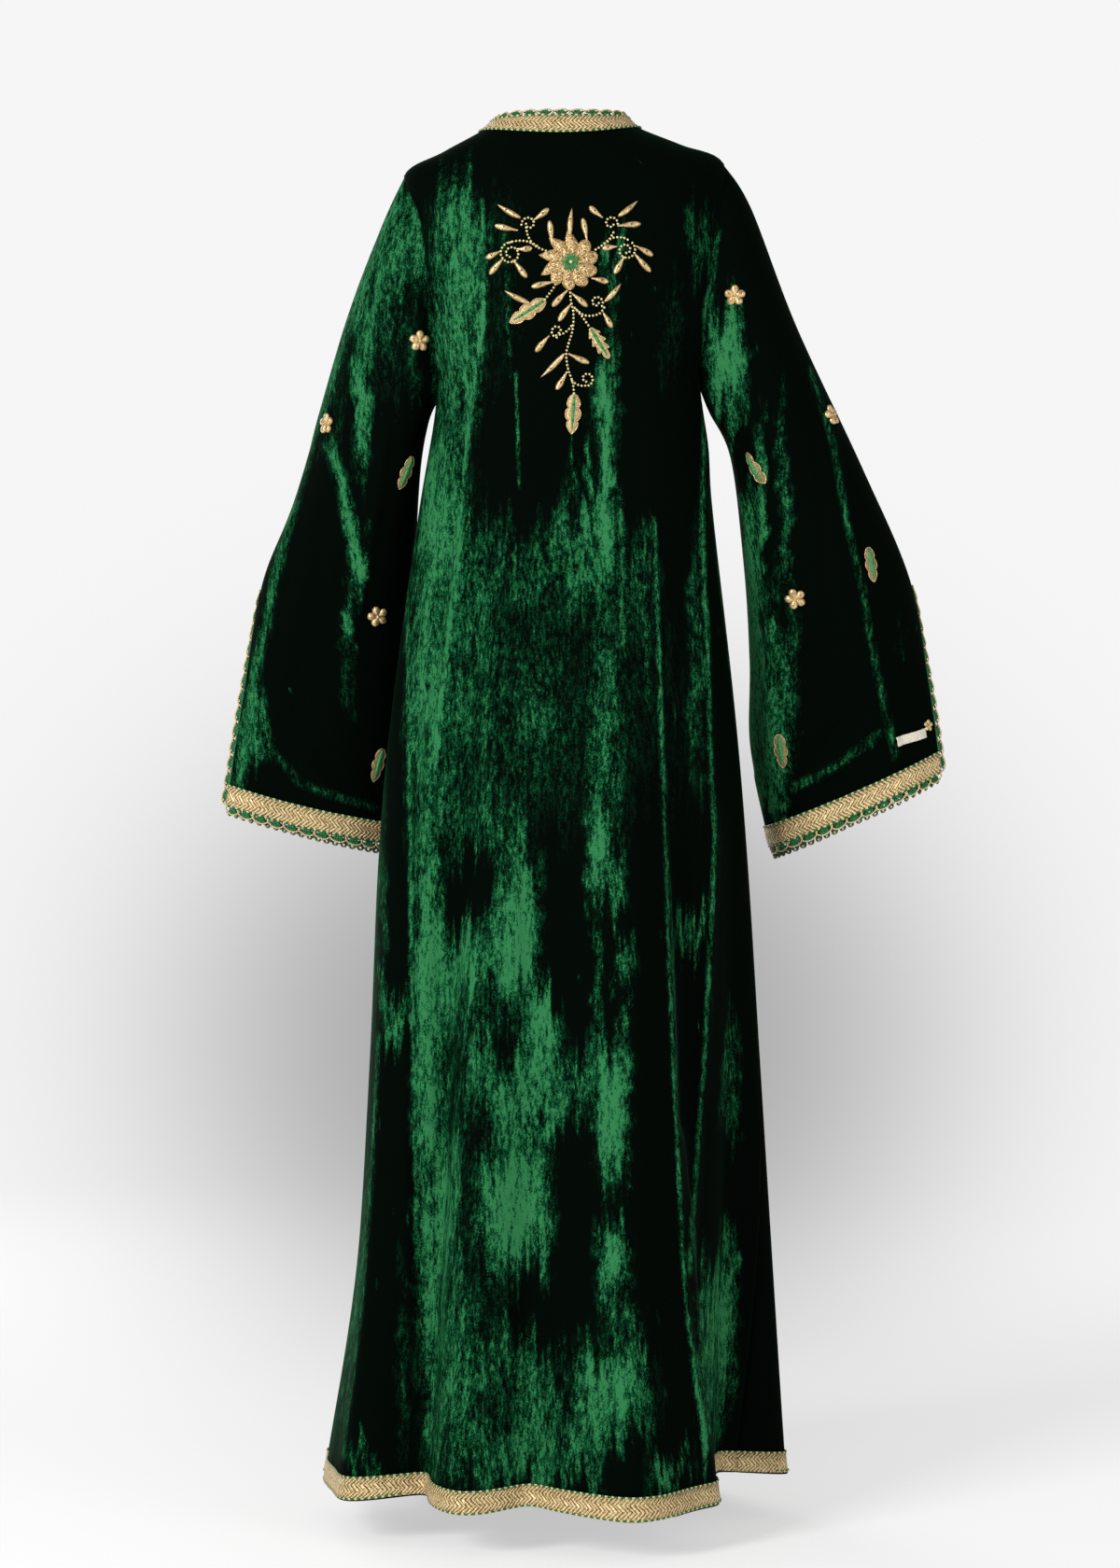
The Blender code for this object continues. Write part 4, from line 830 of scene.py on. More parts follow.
@dataclass(frozen=True)
class SatinThread:
    """Satin-stitched metal thread laid over padding."""

    name: str
    shade: Colour
    light: Colour
    roughness: float = 0.28
    metallic: float = 0.65
    scale: float = 260.0

    def material(self) -> Material:
        """Return the thread's material."""
        graph = MaterialGraph(self.name, Roughness=self.roughness, Metallic=self.metallic,
                              Specular_IOR_Level=0.6)
        place = graph.objects()
        tone = graph.noise(place, self.scale, 2.0)
        fine = graph.noise(graph.stretched(place, (1.0, 1.0, 3.0)), 1500.0, 1.0)
        level = graph.plus(graph.times(tone, 1.6), 0.5)
        colour = graph.ramp(level, ((0.15, self.shade), (0.85, self.light)))
        return graph.finish(colour, graph.plus(fine, tone), 0.5, 0.0004)


@dataclass(frozen=True)
class SequinField:
    """A ground sewn all over with tiny gold sequins, each with a painted highlight in its middle.
    """

    gap: Colour = (0.240, 0.140, 0.050)
    sequin: Colour = (0.540, 0.375, 0.150)
    gleam: Colour = (0.900, 0.740, 0.440)
    scale: float = 640.0

    def material(self) -> Material:
        """Return the sequins' material."""
        graph = MaterialGraph("sequins_gold", Roughness=0.36, Metallic=0.4)
        place = graph.objects()
        cell = graph.add("TexVoronoi", {"Vector": place, "Scale": self.scale}).outputs["Distance"]
        tone = graph.noise(place, 300.0, 1.0)
        # Painted highlight: each sequin brighter towards its middle, darker at the gaps between
        # them
        level = graph.plus(graph.minus(1.0, graph.times(cell, 1.35)), tone)
        colour = graph.ramp(level, ((0.15, self.gap), (0.5, self.sequin), (0.95, self.gleam)))
        return graph.finish(colour, graph.times(cell, -1.0), 0.8, 0.0006)


@dataclass(frozen=True)
class WovenRibbon:
    """Bare cream ribbon with fine ribs."""

    shade: Colour = (0.560, 0.500, 0.380)
    light: Colour = (0.760, 0.720, 0.600)
    rib_width: float = 0.0007

    def material(self) -> Material:
        """Return the ribbon's material."""
        graph = MaterialGraph("ribbon_cream", Roughness=0.6, Sheen_Weight=0.2)
        along, _ = graph.uv()
        rib = graph.math("SINE", graph.times(along, 2.0 * math.pi / self.rib_width))
        tone = graph.plus(graph.times(graph.noise(graph.objects(), 160.0), 1.2), 0.6)
        colour = graph.ramp(tone, ((0.1, self.shade), (0.9, self.light)))
        return graph.finish(colour, rib, 0.4, 0.0002)


@dataclass(frozen=True)
class StudioPaper:
    """Seamless pale studio paper with a soft painted shadow behind the object."""

    paper: float = 0.92
    # The painted shadow: its darkness, softness, spread across and down, and middle
    depth: float = 0.60
    softness: float = 2.2
    spread_across: float = 0.075
    spread_down: float = 0.062
    middle: float = -0.061
    # How much brighter the floor's painted glow is near the object
    near_gain: float = 0.22

    def tone(self, graph: "Graph", across: Socket, down: Socket) -> Socket:
        """Return the paper's tone with its painted shadow, at a slope across and down from the
        camera's place.
        """
        wide = graph.math("POWER", graph.over(across, self.spread_across), 2.0)
        shift = graph.over(graph.minus(down, self.middle), self.spread_down)
        tall = graph.math("POWER", shift, 2.0)
        shadow_cloud = graph.math("EXPONENT", graph.times(graph.plus(wide, tall), -1.0))
        faded = graph.math("EXPONENT", graph.times(shadow_cloud, -self.softness))
        loss = self.depth / (1.0 - math.exp(-self.softness))
        share = graph.times(graph.minus(1.0, faded), loss)
        return graph.times(graph.minus(1.0, share), self.paper)

    def floor(self) -> Material:
        """Return the floor's material: a painted glow carrying the painted shadow, mixed half and
        half with lit paper near the object and all glow far away.
        """
        graph = MaterialGraph("studio_floor", Roughness=0.9, Specular_IOR_Level=0.1)
        place = graph.objects()
        parts = graph.add("SeparateXYZ", {0: place}).outputs
        distance = graph.math("MAXIMUM", graph.minus(CAMERA_Y, parts[1]), 0.05)
        tone = self.tone(graph, graph.over(parts[0], distance),
                         graph.over(FLOOR_Z - CAMERA_Z, distance))
        radius = graph.add("VectorMath", {0: place}, operation="LENGTH").outputs["Value"]
        far = graph.step(radius, 1.0, 4.5)
        gain = graph.times(graph.minus(1.0, far), self.near_gain)
        # The glow is painted light: emission that carries the painted shadow, brighter near the
        # object
        glow = graph.add("Emission", {"Color": tone, "Strength": graph.plus(gain, 1.0)})
        share = graph.plus(graph.times(far, 0.5), 0.5)
        blend = graph.add("MixShader", {0: share})
        graph.tree.links.new(tone, graph.shader.inputs["Base Color"])
        graph.tree.links.new(graph.shader.outputs[0], blend.inputs[1])
        graph.tree.links.new(glow.outputs[0], blend.inputs[2])
        graph.tree.links.new(blend.outputs[0], graph.tree.nodes["Material Output"].inputs[0])
        return graph.material

    def world(self, ambient: float) -> bpy.types.World:
        """Return a world that shows camera rays the paper with its painted shadow and gives other
        rays a weaker even light.
        """
        world = bpy.data.worlds.new("studio")
        world.use_nodes = True
        graph = Graph(world.node_tree)
        parts = graph.add("SeparateXYZ", {0: graph.add("TexCoord").outputs["Generated"]}).outputs
        ahead = graph.math("MAXIMUM", graph.times(parts[1], -1.0), 0.001)
        tone = self.tone(graph, graph.over(parts[0], ahead), graph.over(parts[2], ahead))
        seen = graph.add("LightPath").outputs["Is Camera Ray"]
        level = graph.plus(graph.times(graph.minus(tone, ambient), seen), ambient)
        graph.tree.links.new(level, graph.tree.nodes["Background"].inputs[0])
        return world


class Finishes:
    """Every finish of the kaftan, each made once."""

    def __init__(self) -> None:
        green = (0.010, 0.170, 0.045)
        gold = (0.640, 0.450, 0.200)
        self.velvet = Velvet().material()
        self.braid = WovenBraid().material()
        self.edge_stitch = TwistedCord("stitch_edge", (0.008, 0.110, 0.030), (0.62, 0.50, 0.24),
                                       0.0076, 0.35).material()
        self.green_cord = TwistedCord("cord_green", (0.004, 0.075, 0.020), green, 0.0030,
                                      0.0, 0.45).material()
        self.gold_cord = TwistedCord("cord_gold", (0.50, 0.33, 0.14), (0.80, 0.62, 0.34), 0.0024,
                                     0.0, 0.4, 0.35).material()
        self.picot = TwistedCord("cord_picot", (0.003, 0.034, 0.012), (0.26, 0.19, 0.08), 0.0150,
                                 0.80, 0.45, 0.1).material()
        self.satin = SatinThread("thread_satin", (0.38, 0.24, 0.085),
                                 (0.84, 0.63, 0.34)).material()
        self.leaf = SatinThread("thread_leaf", (0.26, 0.17, 0.055), (0.62, 0.47, 0.22), 0.42,
                                0.35, 520.0).material()
        self.dark_leaf = SatinThread("thread_dark_leaf", (0.070, 0.070, 0.018), (0.34, 0.26, 0.09),
                                     0.45, 0.2, 620.0).material()
        self.sequin = SequinField().material()
        self.bead = SatinThread("bead_gold", (0.55, 0.45, 0.20), (0.80, 0.70, 0.40), 0.30, 0.55,
                                400.0).material()
        self.green_stitch = SatinThread("thread_green", (0.005, 0.090, 0.022), (0.02, 0.33, 0.08),
                                        0.45, 0.0, 600.0).material()
        self.crystal = SatinThread("crystal_dark", (0.018, 0.005, 0.004), (0.14, 0.04, 0.03), 0.10,
                                   0.0, 900.0).material()
        self.knot = TwistedCord("cord_knot", (0.42, 0.28, 0.11), gold, 0.0030, 0.0, 0.45,
                                0.3).material()
        self.ribbon = WovenRibbon().material()
        self.paper = StudioPaper()
        self.floor = self.paper.floor()


def deselect() -> None:
    """Leave nothing selected."""
    for item in bpy.context.selected_objects:
        item.select_set(False)


def settle(item: Piece, name: str, material: Material,
           slot: Slot) -> Piece:
    """Name a piece, dress it and let it ride on the body.

    Args:
        item: The piece.
        name: Its name.
        material: Its finish.
        slot: The record's slot; not used.

    Returns:
        The piece.
    """
    item.name = name
    item.data.name = name
    item.data.materials.clear()
    item.data.materials.append(material)
    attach(item, "root")
    return item


def apply(item: Piece, kind: str, **settings: object) -> None:
    """Add a modifier to a piece and apply it."""
    deselect()
    item.select_set(True)
    bpy.context.view_layer.objects.active = item
    made = item.modifiers.new(kind.lower(), kind)
    for key, value in settings.items():
        setattr(made, key, value)
    bpy.ops.object.modifier_apply(modifier=made.name)


def cloth_sheet(points: Array, normals: Array, uv: Array, thickness: float,
                weld: bool = False) -> Piece:
    """Shape a grid primitive into a sheet and give it a wall inward.

    Args:
        points: Outer points, rows by columns.
        normals: Outward normals of the same shape.
        uv: UV coordinates in metres, rows by columns.
        thickness: The wall.
        weld: True to join points that lie on each other.

    Returns:
        The sheet.
    """
    rows, columns = points.shape[:2]
    deselect()
    bpy.ops.mesh.primitive_grid_add(x_subdivisions=columns - 1, y_subdivisions=rows - 1, size=1.0)
    item = bpy.context.object
    mesh = item.data
    mesh.vertices.foreach_set("co", points.reshape(-1).astype(np.float32))
    corners = np.zeros(len(mesh.loops), dtype=np.int32)
    mesh.loops.foreach_get("vertex_index", corners)
    mesh.uv_layers.active.data.foreach_set("uv", uv.reshape(-1, 2)[corners].reshape(-1))
    around = points[rows // 2, columns // 2 + 1] - points[rows // 2, columns // 2]
    along = points[rows // 2 + 1, columns // 2] - points[rows // 2, columns // 2]
    if np.cross(around, along) @ normals[rows // 2, columns // 2] < 0.0:
        mesh.flip_normals()
    mesh.update()
    if weld:
        work = bmesh.new()
        work.from_mesh(mesh)
        bmesh.ops.remove_doubles(work, verts=work.verts, dist=1e-6)
        work.to_mesh(mesh)
        work.free()
    apply(item, "SOLIDIFY", thickness=thickness, offset=-1.0)
    item.data.shade_smooth()
    return item


def grid_uv(points: Array) -> Array:
    """Return a grid's UV map in metres, along the columns and down the rows."""
    along = np.linalg.norm(np.diff(points, axis=1), axis=2).mean(axis=0)
    down = np.linalg.norm(np.diff(points, axis=0), axis=2).mean(axis=1)
    u = np.concatenate([[0.0], np.cumsum(along)])
    v = np.concatenate([[0.0], np.cumsum(down)])
    return np.stack(np.meshgrid(u, v), axis=-1)


@dataclass
class Shape:
    """Vertices, faces and UVs of one solid, before it is placed."""

    vertices: Array
    faces: list[tuple[int, ...]]
    uvs: Array

    @classmethod
    def of(cls, item: Piece) -> "Shape":
        """Take the shape of a modelled object and remove the object."""
        mesh = item.data
        vertices = np.array([vertex.co for vertex in mesh.vertices])
        faces = [tuple(face.vertices) for face in mesh.polygons]
        bpy.data.objects.remove(item, do_unlink=True)
        return cls(vertices, faces, np.zeros((len(vertices), 2)))

    def moved(self, change: Callable[[Array], Array]) -> "Shape":
        """Return a copy whose vertices are changed by a function."""
        return Shape(change(self.vertices.copy()), self.faces, self.uvs)


@dataclass
class Joined:
    """Many shapes that become one piece."""

    shapes: list[Shape] = field(default_factory=list)

    def add(self, shape: Shape) -> None:
        """Add a shape."""
        self.shapes.append(shape)

    def shape(self) -> Shape:
        """Return all the shapes as one."""
        faces, start = [], 0
        for shape in self.shapes:
            faces.extend(tuple(index + start for index in face) for face in shape.faces)
            start += len(shape.vertices)
        return Shape(np.concatenate([shape.vertices for shape in self.shapes]), faces,
                     np.concatenate([shape.uvs for shape in self.shapes]))

    def piece(self, name: str, material: Material, slot: Slot = Slot.EMBROIDERY) -> Piece:
        """Join the shapes into one dressed piece."""
        whole = self.shape()
        mesh = bpy.data.meshes.new(name)
        mesh.from_pydata(whole.vertices.tolist(), [], whole.faces)
        work = bmesh.new()
        work.from_mesh(mesh)
        bmesh.ops.recalc_face_normals(work, faces=work.faces)
        work.to_mesh(mesh)
        work.free()
        corners = np.zeros(len(mesh.loops), dtype=np.int32)
        mesh.loops.foreach_get("vertex_index", corners)
        layer = mesh.uv_layers.new(name="UVMap")
        layer.data.foreach_set("uv", whole.uvs[corners].reshape(-1))
        mesh.shade_smooth()
        item = bpy.data.objects.new(name, mesh)
        bpy.context.scene.collection.objects.link(item)
        return settle(item, name, material, slot)


def tube(path: Array, up: Array, radius: float | Array, sides: int = 6,
         closed: bool = False) -> Shape:
    """Return a round cord along a path.

    Args:
        path: The centreline's points.
        up: A direction off the cord at each point, such as the cloth's normal.
        radius: The cord's radius, or one at each point.
        sides: How many sides it has.
        closed: True where the path is a ring.

    Returns:
        The cord, its UV map in metres along and in turns around.
    """
    count = len(path)
    if closed:
        tangent = np.roll(path, -1, axis=0) - np.roll(path, 1, axis=0)
    else:
        tangent = np.gradient(path, axis=0)
    across = unit(np.cross(unit(tangent), up))
    lift = unit(np.cross(across, unit(tangent)))
    turns = full_turn(sides)
    radii = np.broadcast_to(np.asarray(radius, dtype=float), (count,))[:, None, None]
    ring = (across[:, None] * np.cos(turns)[None, :, None]
            + lift[:, None] * np.sin(turns)[None, :, None])
    vertices = (path[:, None] + ring * radii).reshape(-1, 3)
    run = run_along(path)
    uvs = np.stack([np.repeat(run, sides), np.tile(np.arange(sides) / sides, count)], axis=1)
    faces = []
    for ring_index in range(count if closed else count - 1):
        after = (ring_index + 1) % count
        for side in range(sides):
            beside = (side + 1) % sides
            faces.append((ring_index * sides + side, ring_index * sides + beside,
                          after * sides + beside, after * sides + side))
    if not closed:
        faces.append(tuple(range(sides))[::-1])
        faces.append(tuple((count - 1) * sides + side for side in range(sides)))
    return Shape(vertices, faces, uvs)


@dataclass
class Cloth:
    """A patch of finished cloth: its outer grid and normals."""

    points: Array
    normals: Array

    def part(self, rows: slice, columns: slice) -> "Cloth":
        """Return some of its rows and columns."""
        return Cloth(self.points[rows, columns].copy(), self.normals[rows, columns].copy())


@dataclass
class BodyForm:
    """The body's outer surface between neck and hem, worked out from sections and folds."""

    fine: int = 1400

    def __post_init__(self) -> None:
        self.positions = np.linspace(0.0, LAST, self.fine + 1)
        sections = read_rows(SECTIONS, self.positions)
        self.side_heights = 0.5 * (sections[:, 0] + sections[:, 1])

    def position_at(self, z: Array) -> Array:
        """Return the section positions whose side line lies at the given heights."""
        return np.interp(-np.asarray(z), -self.side_heights, self.positions)

    def fold_offset(self, angle: Array, z: Array) -> Array:
        """Return how far the folds move the cloth out at angles and heights."""
        total = np.zeros(np.broadcast(angle, z).shape)
        hem_z = SECTIONS[-1].z_left
        for fold in FOLDS:
            share = np.clip((fold.z_start - z) / (fold.z_start - hem_z), 0.0, 1.0)
            centre = fold.top_angle + (fold.hem_angle - fold.top_angle) * share
            turn = (angle - centre + 180.0) % 360.0 - 180.0
            spread = np.where(turn < 0.0, fold.before, fold.after)
            shape = np.exp(-(np.abs(turn) / spread) ** fold.flatness)
            total += fold.depth * share ** fold.growth * shape
        return total

    def point(self, theta: Array, position: Array) -> Array:
        """Return surface points at angles in degrees and section positions."""
        theta, position = np.broadcast_arrays(theta, position)
        section = Section(*np.moveaxis(read_rows(SECTIONS, position), -1, 0))
        cosine, sine = np.cos(np.radians(theta)), np.sin(np.radians(theta))
        width = np.where(cosine > 0.0, section.width_left, section.width_right)
        depth = np.where(sine > 0.0, section.depth_back, section.depth_front)
        power = 2.0 / section.roundness
        x = np.sign(cosine) * width * np.abs(cosine) ** power
        y = np.sign(sine) * depth * np.abs(sine) ** power
        z_mean = 0.5 * (section.z_left + section.z_right)
        z_side = z_mean + (section.z_left - z_mean) * cosine
        z_middle = np.where(sine > 0.0, section.z_back, section.z_front)
        z = z_side * cosine ** 2 + z_middle * sine ** 2
        radius = np.hypot(x, y)
        offset = self.fold_offset(np.degrees(np.arctan2(y, x)) % 360.0, z)
        scale = (radius + offset) / radius
        share = np.maximum(0.0, (position - LIFT_FROM) / (LAST - LIFT_FROM))
        return np.stack([x * scale, y * scale, z - HEM_LIFT_PER_DEPTH * offset * share], axis=-1)

    def cut_angle(self, position: Array, step: Array, back: bool) -> Array:
        """Return how far the armhole's edge lies from the side line, in degrees."""
        section = Section(*np.moveaxis(read_rows(SECTIONS, position), -1, 0))
        depth = section.depth_back if back else section.depth_front
        reach = ARMHOLE_DEPTH_BACK if back else ARMHOLE_DEPTH_FRONT
        reach = reach * np.sin(math.pi * step / ARMHOLE_STEPS)
        share = np.maximum(reach / depth, 0.0) ** (section.roundness / 2.0)
        return np.degrees(np.arcsin(share))

    def shares(self, start: float, end: float, count: int) -> Array:
        """Share an angle range into columns of nearly even length round the hem."""
        angles = np.linspace(start, end, self.fine + 1)
        points = self.point(angles, np.full_like(angles, LAST))
        run = run_along(points)
        even = np.interp(np.linspace(0.0, run[-1], count + 1), run, angles)
        plain = np.linspace(start, end, count + 1)
        return (EVENNESS * even + (1.0 - EVENNESS) * plain - start) / (end - start)

    def band_angle(self, position: Array, side: float) -> Array:
        """Return the angle on the front where the centre braid's edge lies."""
        low, high = np.zeros_like(position), np.full_like(position, 60.0)
        reach = BRAID_WIDTH + 0.5 * GAP
        for _ in range(40):
            middle = 0.5 * (low + high)
            inside = np.abs(self.point(270.0 + side * middle, position)[..., 0]) < reach
            low, high = np.where(inside, middle, low), np.where(inside, high, middle)
        return 270.0 + side * 0.5 * (low + high)


def grid_normals(points: Array, outward: float, welded: int = 0) -> Array:
    """Return a grid's normals; outward is 1 or -1, and welded rows are closed round."""
    along = np.gradient(points, axis=0)
    around = np.gradient(points, axis=1)
    if welded:
        seam = points[:welded, 1] - points[:welded, -2]
        around[:welded, 0] = around[:welded, -1] = 0.5 * seam
    return unit(outward * np.cross(along, around))


@dataclass
class Garment:
    """The velvet: a back, two fronts and two slit bell sleeves."""

    finishes: Finishes
    back_columns: int = 248
    front_columns: int = 112
    strip_columns: int = 4
    armhole_rows: int = 64
    seam_dip: float = 0.0012
    form: BodyForm = field(default_factory=BodyForm)
    cloths: dict[str, Cloth] = field(default_factory=dict)
    pieces: dict[str, Piece] = field(default_factory=dict)

    def __post_init__(self) -> None:
        tip_z, low_z = (float(np.interp(at, self.form.positions, self.form.side_heights))
                        for at in (TIP, UNDERARM))
        steps = np.linspace(0.0, ARMHOLE_STEPS, self.armhole_rows + 1)
        drop = 0.5 - 0.5 * np.cos(math.pi * steps / ARMHOLE_STEPS)
        around_arm = self.form.position_at(tip_z + (low_z - tip_z) * drop)
        around_arm[0], around_arm[-1] = TIP, UNDERARM
        band_z = SECTIONS[int(HEM_BAND_TOP)].z_left
        below = self.form.position_at(np.linspace(low_z, band_z, 104))[1:]
        below[-1] = HEM_BAND_TOP
        parts = (np.linspace(0.0, BAND_FOOT, 5)[:-1], np.linspace(BAND_FOOT, TIP, 15)[:-1],
                 around_arm, below, np.linspace(HEM_BAND_TOP, LAST, 6)[1:])
        self.rows = np.concatenate(parts)
        self.tip_row = len(parts[0]) + len(parts[1])
        self.underarm_row = self.tip_row + self.armhole_rows
        self.steps = np.zeros(len(self.rows))
        self.steps[self.tip_row:self.underarm_row + 1] = steps
        self.band_row = len(self.rows) - len(parts[4]) - 1
        self.neck_row = len(parts[0])

    def angles(self, name: str) -> Array:
        """Return the angles of a panel's grid, rows by columns."""
        cut = self.form.cut_angle(self.rows, self.steps, name == "back")[:, None]
        if name == "back":
            return cut + (180.0 - 2.0 * cut) * self.form.shares(0.0, 180.0, self.back_columns)
        strip = np.linspace(0.0, 1.0, self.strip_columns + 1)
        if name == "front_right":
            shares = self.form.shares(180.0, 270.0, self.front_columns)
            band = self.form.band_angle(self.rows, -1.0)[:, None]
            first = 180.0 + cut
            return np.concatenate([first + (band - first) * shares,
                                   band + (270.0 - band) * strip[1:]], axis=1)
        shares = self.form.shares(270.0, 360.0, self.front_columns)
        band = self.form.band_angle(self.rows, 1.0)[:, None]
        return np.concatenate([270.0 + (band - 270.0) * strip[:-1],
                               band + (360.0 - cut - band) * shares], axis=1)

    def keep(self, name: str, node: str, cloth: Cloth, pile: Array, weld: bool = False) -> None:
        """Make a cloth piece in place of a node, with the painted sheen, partly crushed nap, on
        its points.
        """
        item = cloth_sheet(cloth.points, cloth.normals, grid_uv(cloth.points), WALL, weld)
        settle(item, name, self.finishes.velvet, Slot.VELVET)
        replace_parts(item, node)
        mesh = item.data
        tree = {tuple(np.round(point, 5)): value
                for point, value in zip(cloth.points.reshape(-1, 3), pile.reshape(-1))}
        half = len(mesh.vertices) // 2
        values = np.array([tree.get(tuple(np.round(np.array(mesh.vertices[index].co), 5)), 0.3)
                           for index in range(half)])
        attribute = mesh.attributes.new("pile", "FLOAT", "POINT")
        # The inner wall takes half the painted sheen, so the inside is darker: painted shade
        attribute.data.foreach_set("value", np.concatenate([values, values * 0.5]))
        self.cloths[node] = cloth
        self.pieces[node] = item

    def panel(self, name: str) -> None:
        """Make the back or a front panel."""
        points = self.form.point(self.angles(name), self.rows[:, None])
        normals = grid_normals(points, 1.0)
        seams = points[:, [0, -1]]
        points = creased(points, normals, BODY_CREASES)
        points[:, [0, -1]] = seams - unit(seams * (1.0, 1.0, 0.0)) * self.seam_dip
        normals = grid_normals(points, 1.0)
        # Painted sheen and shade, partly crushed and standing nap, from the listed patches
        pile = pile_of(points, normals, BODY_CRUSHED_SHEEN, BODY_STANDING_SHADE, BODY_SHEEN_STREAKS)
        self.keep("cloth_" + name, name + "_panel", Cloth(points, normals), pile)

    def armhole(self, side: Side) -> Array:
        """Return an armhole's edge, from the shoulder tip backwards round to it."""
        left = side is Side.LEFT
        rows = slice(self.tip_row, self.underarm_row + 1)
        back = self.cloths["back_panel"].points[rows, 0 if left else -1]
        front = self.cloths[f"front_{side.word}_panel"].points[rows, -1 if left else 0]
        return np.concatenate([back, front[::-1][1:]])

    def sleeve(self, side: Side) -> None:
        """Make a sleeve that starts on the armhole and opens in a slit."""
        edge = self.armhole(side)
        rows = np.concatenate([np.linspace(0.0, 1.0, 13)[:-1], np.linspace(1.0, SLIT_TOP, 45)[:-1],
                               np.linspace(SLIT_TOP, SLEEVE_BAND_TOP, 37)[:-1],
                               np.linspace(SLEEVE_BAND_TOP, SLEEVE_LAST, 6)])
        table = SLEEVE_SECTIONS[side]
        section = SleeveSection(*np.moveaxis(read_rows(table, rows), -1, 0))
        slit = np.where(rows > SLIT_TOP, np.maximum(section.slit, 0.0), 0.0)
        opening = np.arcsin(0.5 * slit / section.half_depth)[:, None]
        outer = np.stack([side.value * section.outer_x, section.centre_y, section.outer_z], -1)
        inner = np.stack([side.value * section.inner_x, section.centre_y, section.inner_z], -1)
        reach = (outer - inner) / (1.0 + np.cos(opening))
        middle = inner + reach
        columns = np.arange(len(edge))[None, :] / (len(edge) - 1.0)
        turn = opening + (2.0 * math.pi - 2.0 * opening) * columns
        depth = np.broadcast_to(section.half_depth[:, None], turn.shape).copy()
        for fold in SLEEVE_FOLDS[side]:
            share = np.maximum(rows - fold.start, 0.0)[:, None] / (SLEEVE_LAST - fold.start)
            away = (np.degrees(turn) - fold.angle) / fold.spread
            depth += fold.depth * share * np.exp(-away ** 2)
        points = middle[:, None] + reach[:, None] * np.cos(turn)[..., None]
        points[..., 1] += depth * np.sin(turn)
        points[..., 2] -= section.sag[:, None] * np.sin(turn) ** 2
        weight = np.interp(rows, (0.0, 0.5, 1.0), (1.0, 0.45, 0.0))
        points += (edge - points[0])[None] * weight[:, None, None]
        welded = int(np.sum(rows <= SLIT_TOP))
        normals = grid_normals(points, side.value, welded)
        points = creased(points, normals, SLEEVE_CREASES[side], False)
        points[0] = edge
        points[:welded, -1] = points[:welded, 0]
        normals = grid_normals(points, side.value, welded)
        # Painted sheen and shade, partly crushed and standing nap, from the listed patches
        pile = pile_of(points, normals, SLEEVE_CRUSHED_SHEEN[side], SLEEVE_STANDING_SHADE[side],
                       SLEEVE_SHEEN_STREAKS[side], False)
        self.sleeve_band = int(np.sum(rows < SLEEVE_BAND_TOP))
        self.slit_row = welded
        self.keep("cloth_sleeve_" + side.word, "sleeve_" + side.word, Cloth(points, normals),
                  pile, True)

    def build(self) -> None:
        """Make all five pieces of cloth."""
        for name in ("back", "front_left", "front_right"):
            self.panel(name)
        for side in Side:
            self.sleeve(side)


@dataclass
class Braids:
    """The flat gold braids and the stitched cords along their edges."""

    finishes: Finishes
    garment: Garment
    dome: float = 0.0005
    cord_radius: float = 0.00120
    cord_step: float = 0.0026
    pieces: dict[str, list[Piece]] = field(default_factory=dict)

    def braid(self, node: str, patch: Cloth) -> None:
        """Lay one braid, whose rows run along it, and its two edge cords."""
        rows = len(patch.points)
        crown = np.sin(math.pi * np.arange(rows) / (rows - 1.0))[:, None, None] * self.dome
        lift = GAP + BRAID
        outer = patch.points + patch.normals * (lift + crown)
        item = cloth_sheet(outer, patch.normals, grid_uv(outer), BRAID)
        settle(item, node + "_weave", self.finishes.braid, Slot.BRAID)
        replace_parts(item, node)
        cords = Joined()
        for row in (0, -1):
            line = patch.points[row] + patch.normals[row] * lift
            run = run_along(line)
            count = max(int(run[-1] / self.cord_step), 2)
            even = np.linspace(0.0, run[-1], count + 1)
            cords.add(tube(blended(even, run, line), blended(even, run, patch.normals[row]),
                           self.cord_radius, 5))
        stitches = cords.piece(node + "_stitches", self.finishes.edge_stitch, Slot.BRAID)
        self.pieces[node] = [item, stitches]

    def build(self) -> None:
        """Lay every braid on the cloth."""
        garment = self.garment
        whole = slice(0, None)
        back = garment.cloths["back_panel"]
        left, right = garment.cloths["front_left_panel"], garment.cloths["front_right_panel"]
        neck = slice(0, garment.neck_row + 1)
        parts = [left.part(neck, whole), back.part(neck, slice(1, None)),
                 right.part(neck, slice(1, None))]
        self.neck = Cloth(np.concatenate([part.points for part in parts], axis=1),
                          np.concatenate([part.normals for part in parts], axis=1))
        self.braid("neck_band", self.neck)
        hem = slice(garment.band_row, None)
        for name in ("back", "front_left", "front_right"):
            self.braid("hem_band_" + name, garment.cloths[name + "_panel"].part(hem, whole))
        strip = garment.strip_columns
        rows = slice(garment.neck_row, garment.band_row + 1)
        for name, cloth, columns in (("left", left, slice(0, strip + 1)),
                                     ("right", right, slice(-strip - 1, None))):
            part = cloth.part(rows, columns)
            self.braid("front_braid_" + name, Cloth(part.points.transpose(1, 0, 2),
                                                    part.normals.transpose(1, 0, 2)))
        cuff = slice(garment.sleeve_band, None)
        for side in Side:
            self.braid("cuff_band_" + side.word,
                       garment.cloths["sleeve_" + side.word].part(cuff, whole))


